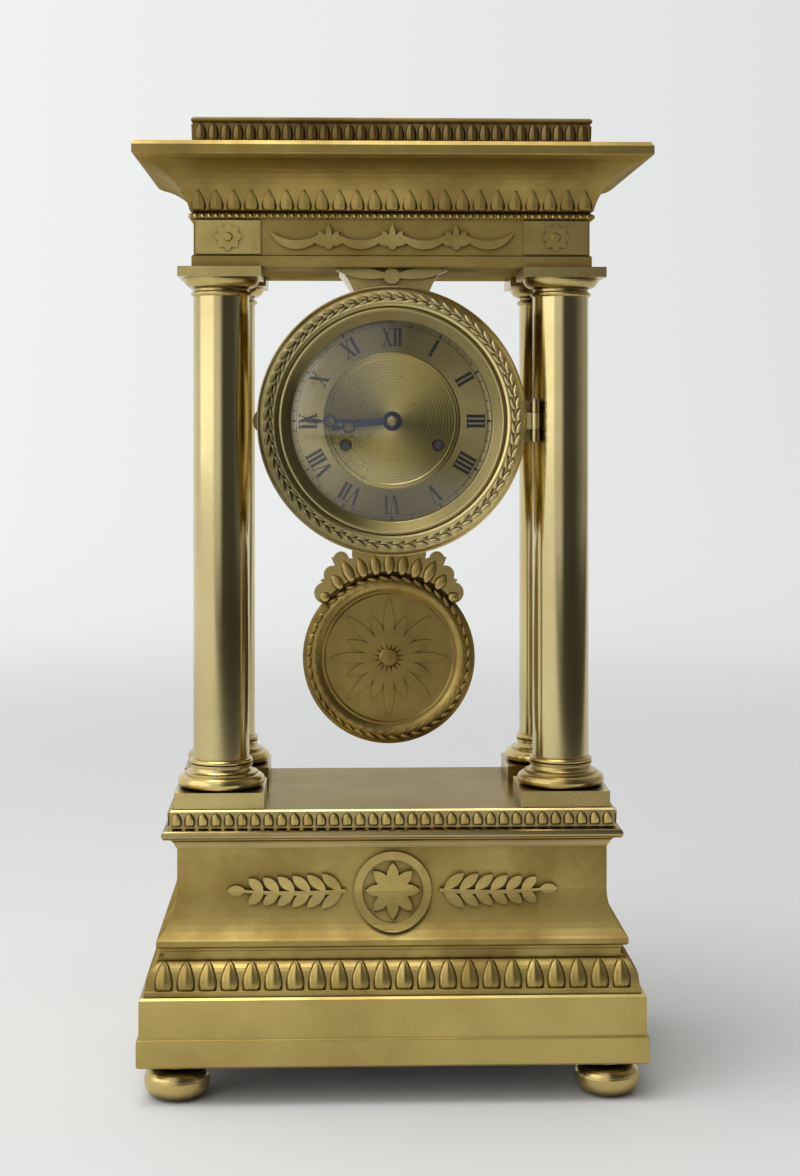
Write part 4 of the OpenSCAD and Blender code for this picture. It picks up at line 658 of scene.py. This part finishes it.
# ---- Paper ------------------------------------------------------------------------------
# A pale sweep of paper runs under the clock and up behind it. Round the clock it shows the
# lamps' light and the shadows. Farther off it glows, painted paler at the left than at the right as
# painted light from the left, and in what metal mirrors, the floor ahead to the right is painted
# dark, a painted shade standing for an unlit room.
paper, paper_tree, sheet, paper_place = blank("paper")
sheet.inputs["Base Color"].default_value = (0.86, 0.86, 0.85, 1)
sheet.inputs["Roughness"].default_value = 0.8
sheet.inputs["Specular IOR Level"].default_value = 0.1
where = wire(paper_tree, "ShaderNodeSeparateXYZ", {0: paper_place}).outputs
seen = wire(paper_tree, "ShaderNodeLightPath").outputs
direct_or_mirrored = maths(paper_tree, "MAXIMUM", seen["Is Camera Ray"], seen["Is Glossy Ray"])
in_view = maths(paper_tree, "MAXIMUM", direct_or_mirrored, seen["Is Transmission Ray"])
ground = wire(paper_tree, "ShaderNodeCombineXYZ", {"X": where[0], "Y": where[1]}).outputs[0]
away = wire(paper_tree, "ShaderNodeVectorMath", {0: ground}, operation="LENGTH").outputs["Value"]
distant = ramp(paper_tree, away, 0.3, 2.6, interpolation_type="SMOOTHSTEP")
# Far off, the paper glows paler at the left than at the right: painted light from the left.
glow = wire(paper_tree, "ShaderNodeEmission",
            {"Color": (0.985, 1.0, 1.0, 1),
             "Strength": ramp(paper_tree, where[0], -0.8, 0.9, 0.90, 0.76)})
far_glow = wire(paper_tree, "ShaderNodeMixShader",
              {0: maths(paper_tree, "MULTIPLY", in_view, distant), 1: sheet.outputs[0],
               2: glow.outputs[0]})
# For mirrored rays only, the floor ahead to the right is painted nearly black: a painted shade
# standing for an unlit room.
ahead = wire(paper_tree, "ShaderNodeVectorMath", {0: paper_place, 1: (0.75, -0.66, 0.0)},
             operation="DOT_PRODUCT").outputs["Value"]
beyond = ramp(paper_tree, ahead, 0.55, 1.0, interpolation_type="SMOOTHSTEP")
unlit = maths(paper_tree, "MULTIPLY", beyond, seen["Is Glossy Ray"])
mirrored_floor_shade = wire(paper_tree, "ShaderNodeEmission", {"Color": (0.9, 0.8, 0.7, 1), "Strength": 0.05})
ended = wire(paper_tree, "ShaderNodeMixShader",
             {0: unlit, 1: far_glow.outputs[0], 2: mirrored_floor_shade.outputs[0]})
paper_tree.links.new(ended.outputs[0], paper_tree.nodes["Material Output"].inputs["Surface"])

half_width, front_edge, bend_start, bend, top_edge = 4.0, -3.5, 2.0, 0.9, 4.0
bend_steps = 12
profile = [(front_edge, 0.0), (bend_start, 0.0)]
for k in range(1, bend_steps + 1):
    a = math.pi / 2 * k / bend_steps
    profile.append((bend_start + math.sin(a) * bend, bend - math.cos(a) * bend))
profile.append((bend_start + bend, top_edge))
sweep_mesh = bpy.data.meshes.new("sweep")
sweep_mesh.from_pydata([(x, y, z) for y, z in profile for x in (-half_width, half_width)], [],
                       [(2 * i, 2 * i + 1, 2 * i + 3, 2 * i + 2) for i in range(len(profile) - 1)])
sweep_mesh.shade_smooth()
sweep_mesh.materials.append(paper)
sweep = placed("sweep", sweep_mesh)

# ---- Room and lamps ---------------------------------------------------------------------
# Metal mirrors a room that is pale to the left of the camera, dark to its right and dimly lit
# behind. Seen directly, the room is as pale as the paper. A large soft lamp stands at the left,
# and a smaller one hangs overhead.
sky = bpy.data.worlds.new("studio")
bpy.context.scene.world = sky
sky.use_nodes = True
sky_tree = sky.node_tree
sky_shader = sky_tree.nodes["Background"]
way = wire(sky_tree, "ShaderNodeTexCoord").outputs["Generated"]
spot = wire(sky_tree, "ShaderNodeSeparateXYZ", {0: way}).outputs
bearing = maths(sky_tree, "ARCTAN2", spot[0], maths(sky_tree, "MULTIPLY", spot[1], -1.0))
lit = ramp(sky_tree, bearing, math.radians(10), math.radians(-7), 0.07, 0.85,
           interpolation_type="SMOOTHSTEP")
far_side = ramp(sky_tree, bearing, math.radians(45), math.radians(120), 0.0, 0.34,
                interpolation_type="SMOOTHSTEP")
direct = wire(sky_tree, "ShaderNodeLightPath").outputs["Is Camera Ray"]
strength = maths(sky_tree, "ADD", lit, far_side)
shown = wire(sky_tree, "ShaderNodeMix", {0: direct, 2: strength, 3: 0.86})
sky_tree.links.new(shown.outputs[0], sky_shader.inputs["Strength"])
sky_shader.inputs["Color"].default_value = (0.97, 0.98, 1.0, 1)


def soft_lamp(name, at, size, watts):
    """A rectangular lamp that points at the middle of the clock."""
    lamp = bpy.data.lights.new(name, "AREA")
    lamp.shape = "RECTANGLE"
    lamp.size, lamp.size_y = size
    lamp.energy = watts
    stand = placed(name, lamp)
    stand.location = at
    stand.rotation_euler = (Vector((0, 0, 0.25)) - Vector(at)).to_track_quat("-Z", "Y").to_euler()


soft_lamp("left_lamp", (-1.5, -0.85, 0.98), (2.3, 1.6), 9.8)
soft_lamp("top_lamp", (-0.3, -0.3, 1.9), (1.2, 1.0), 13.0)

# ---- Camera -----------------------------------------------------------------------------
# It stands level with the dial, a little left of the middle, and is turned slightly to the
# right. The lens is shifted down, so that the columns stay upright in the picture.
lens = bpy.data.cameras.new("camera")
lens.sensor_width = 36.0
lens.lens = 63.01
lens.shift_y = -0.1425
lens.clip_start = 0.01
camera = placed("camera", lens)
camera.location = (-0.030, -1.0678, 0.3303)
camera.rotation_euler = (math.pi / 2, 0, math.radians(-1.905))
bpy.context.scene.camera = camera
bpy.context.scene.view_settings.view_transform = "Standard"
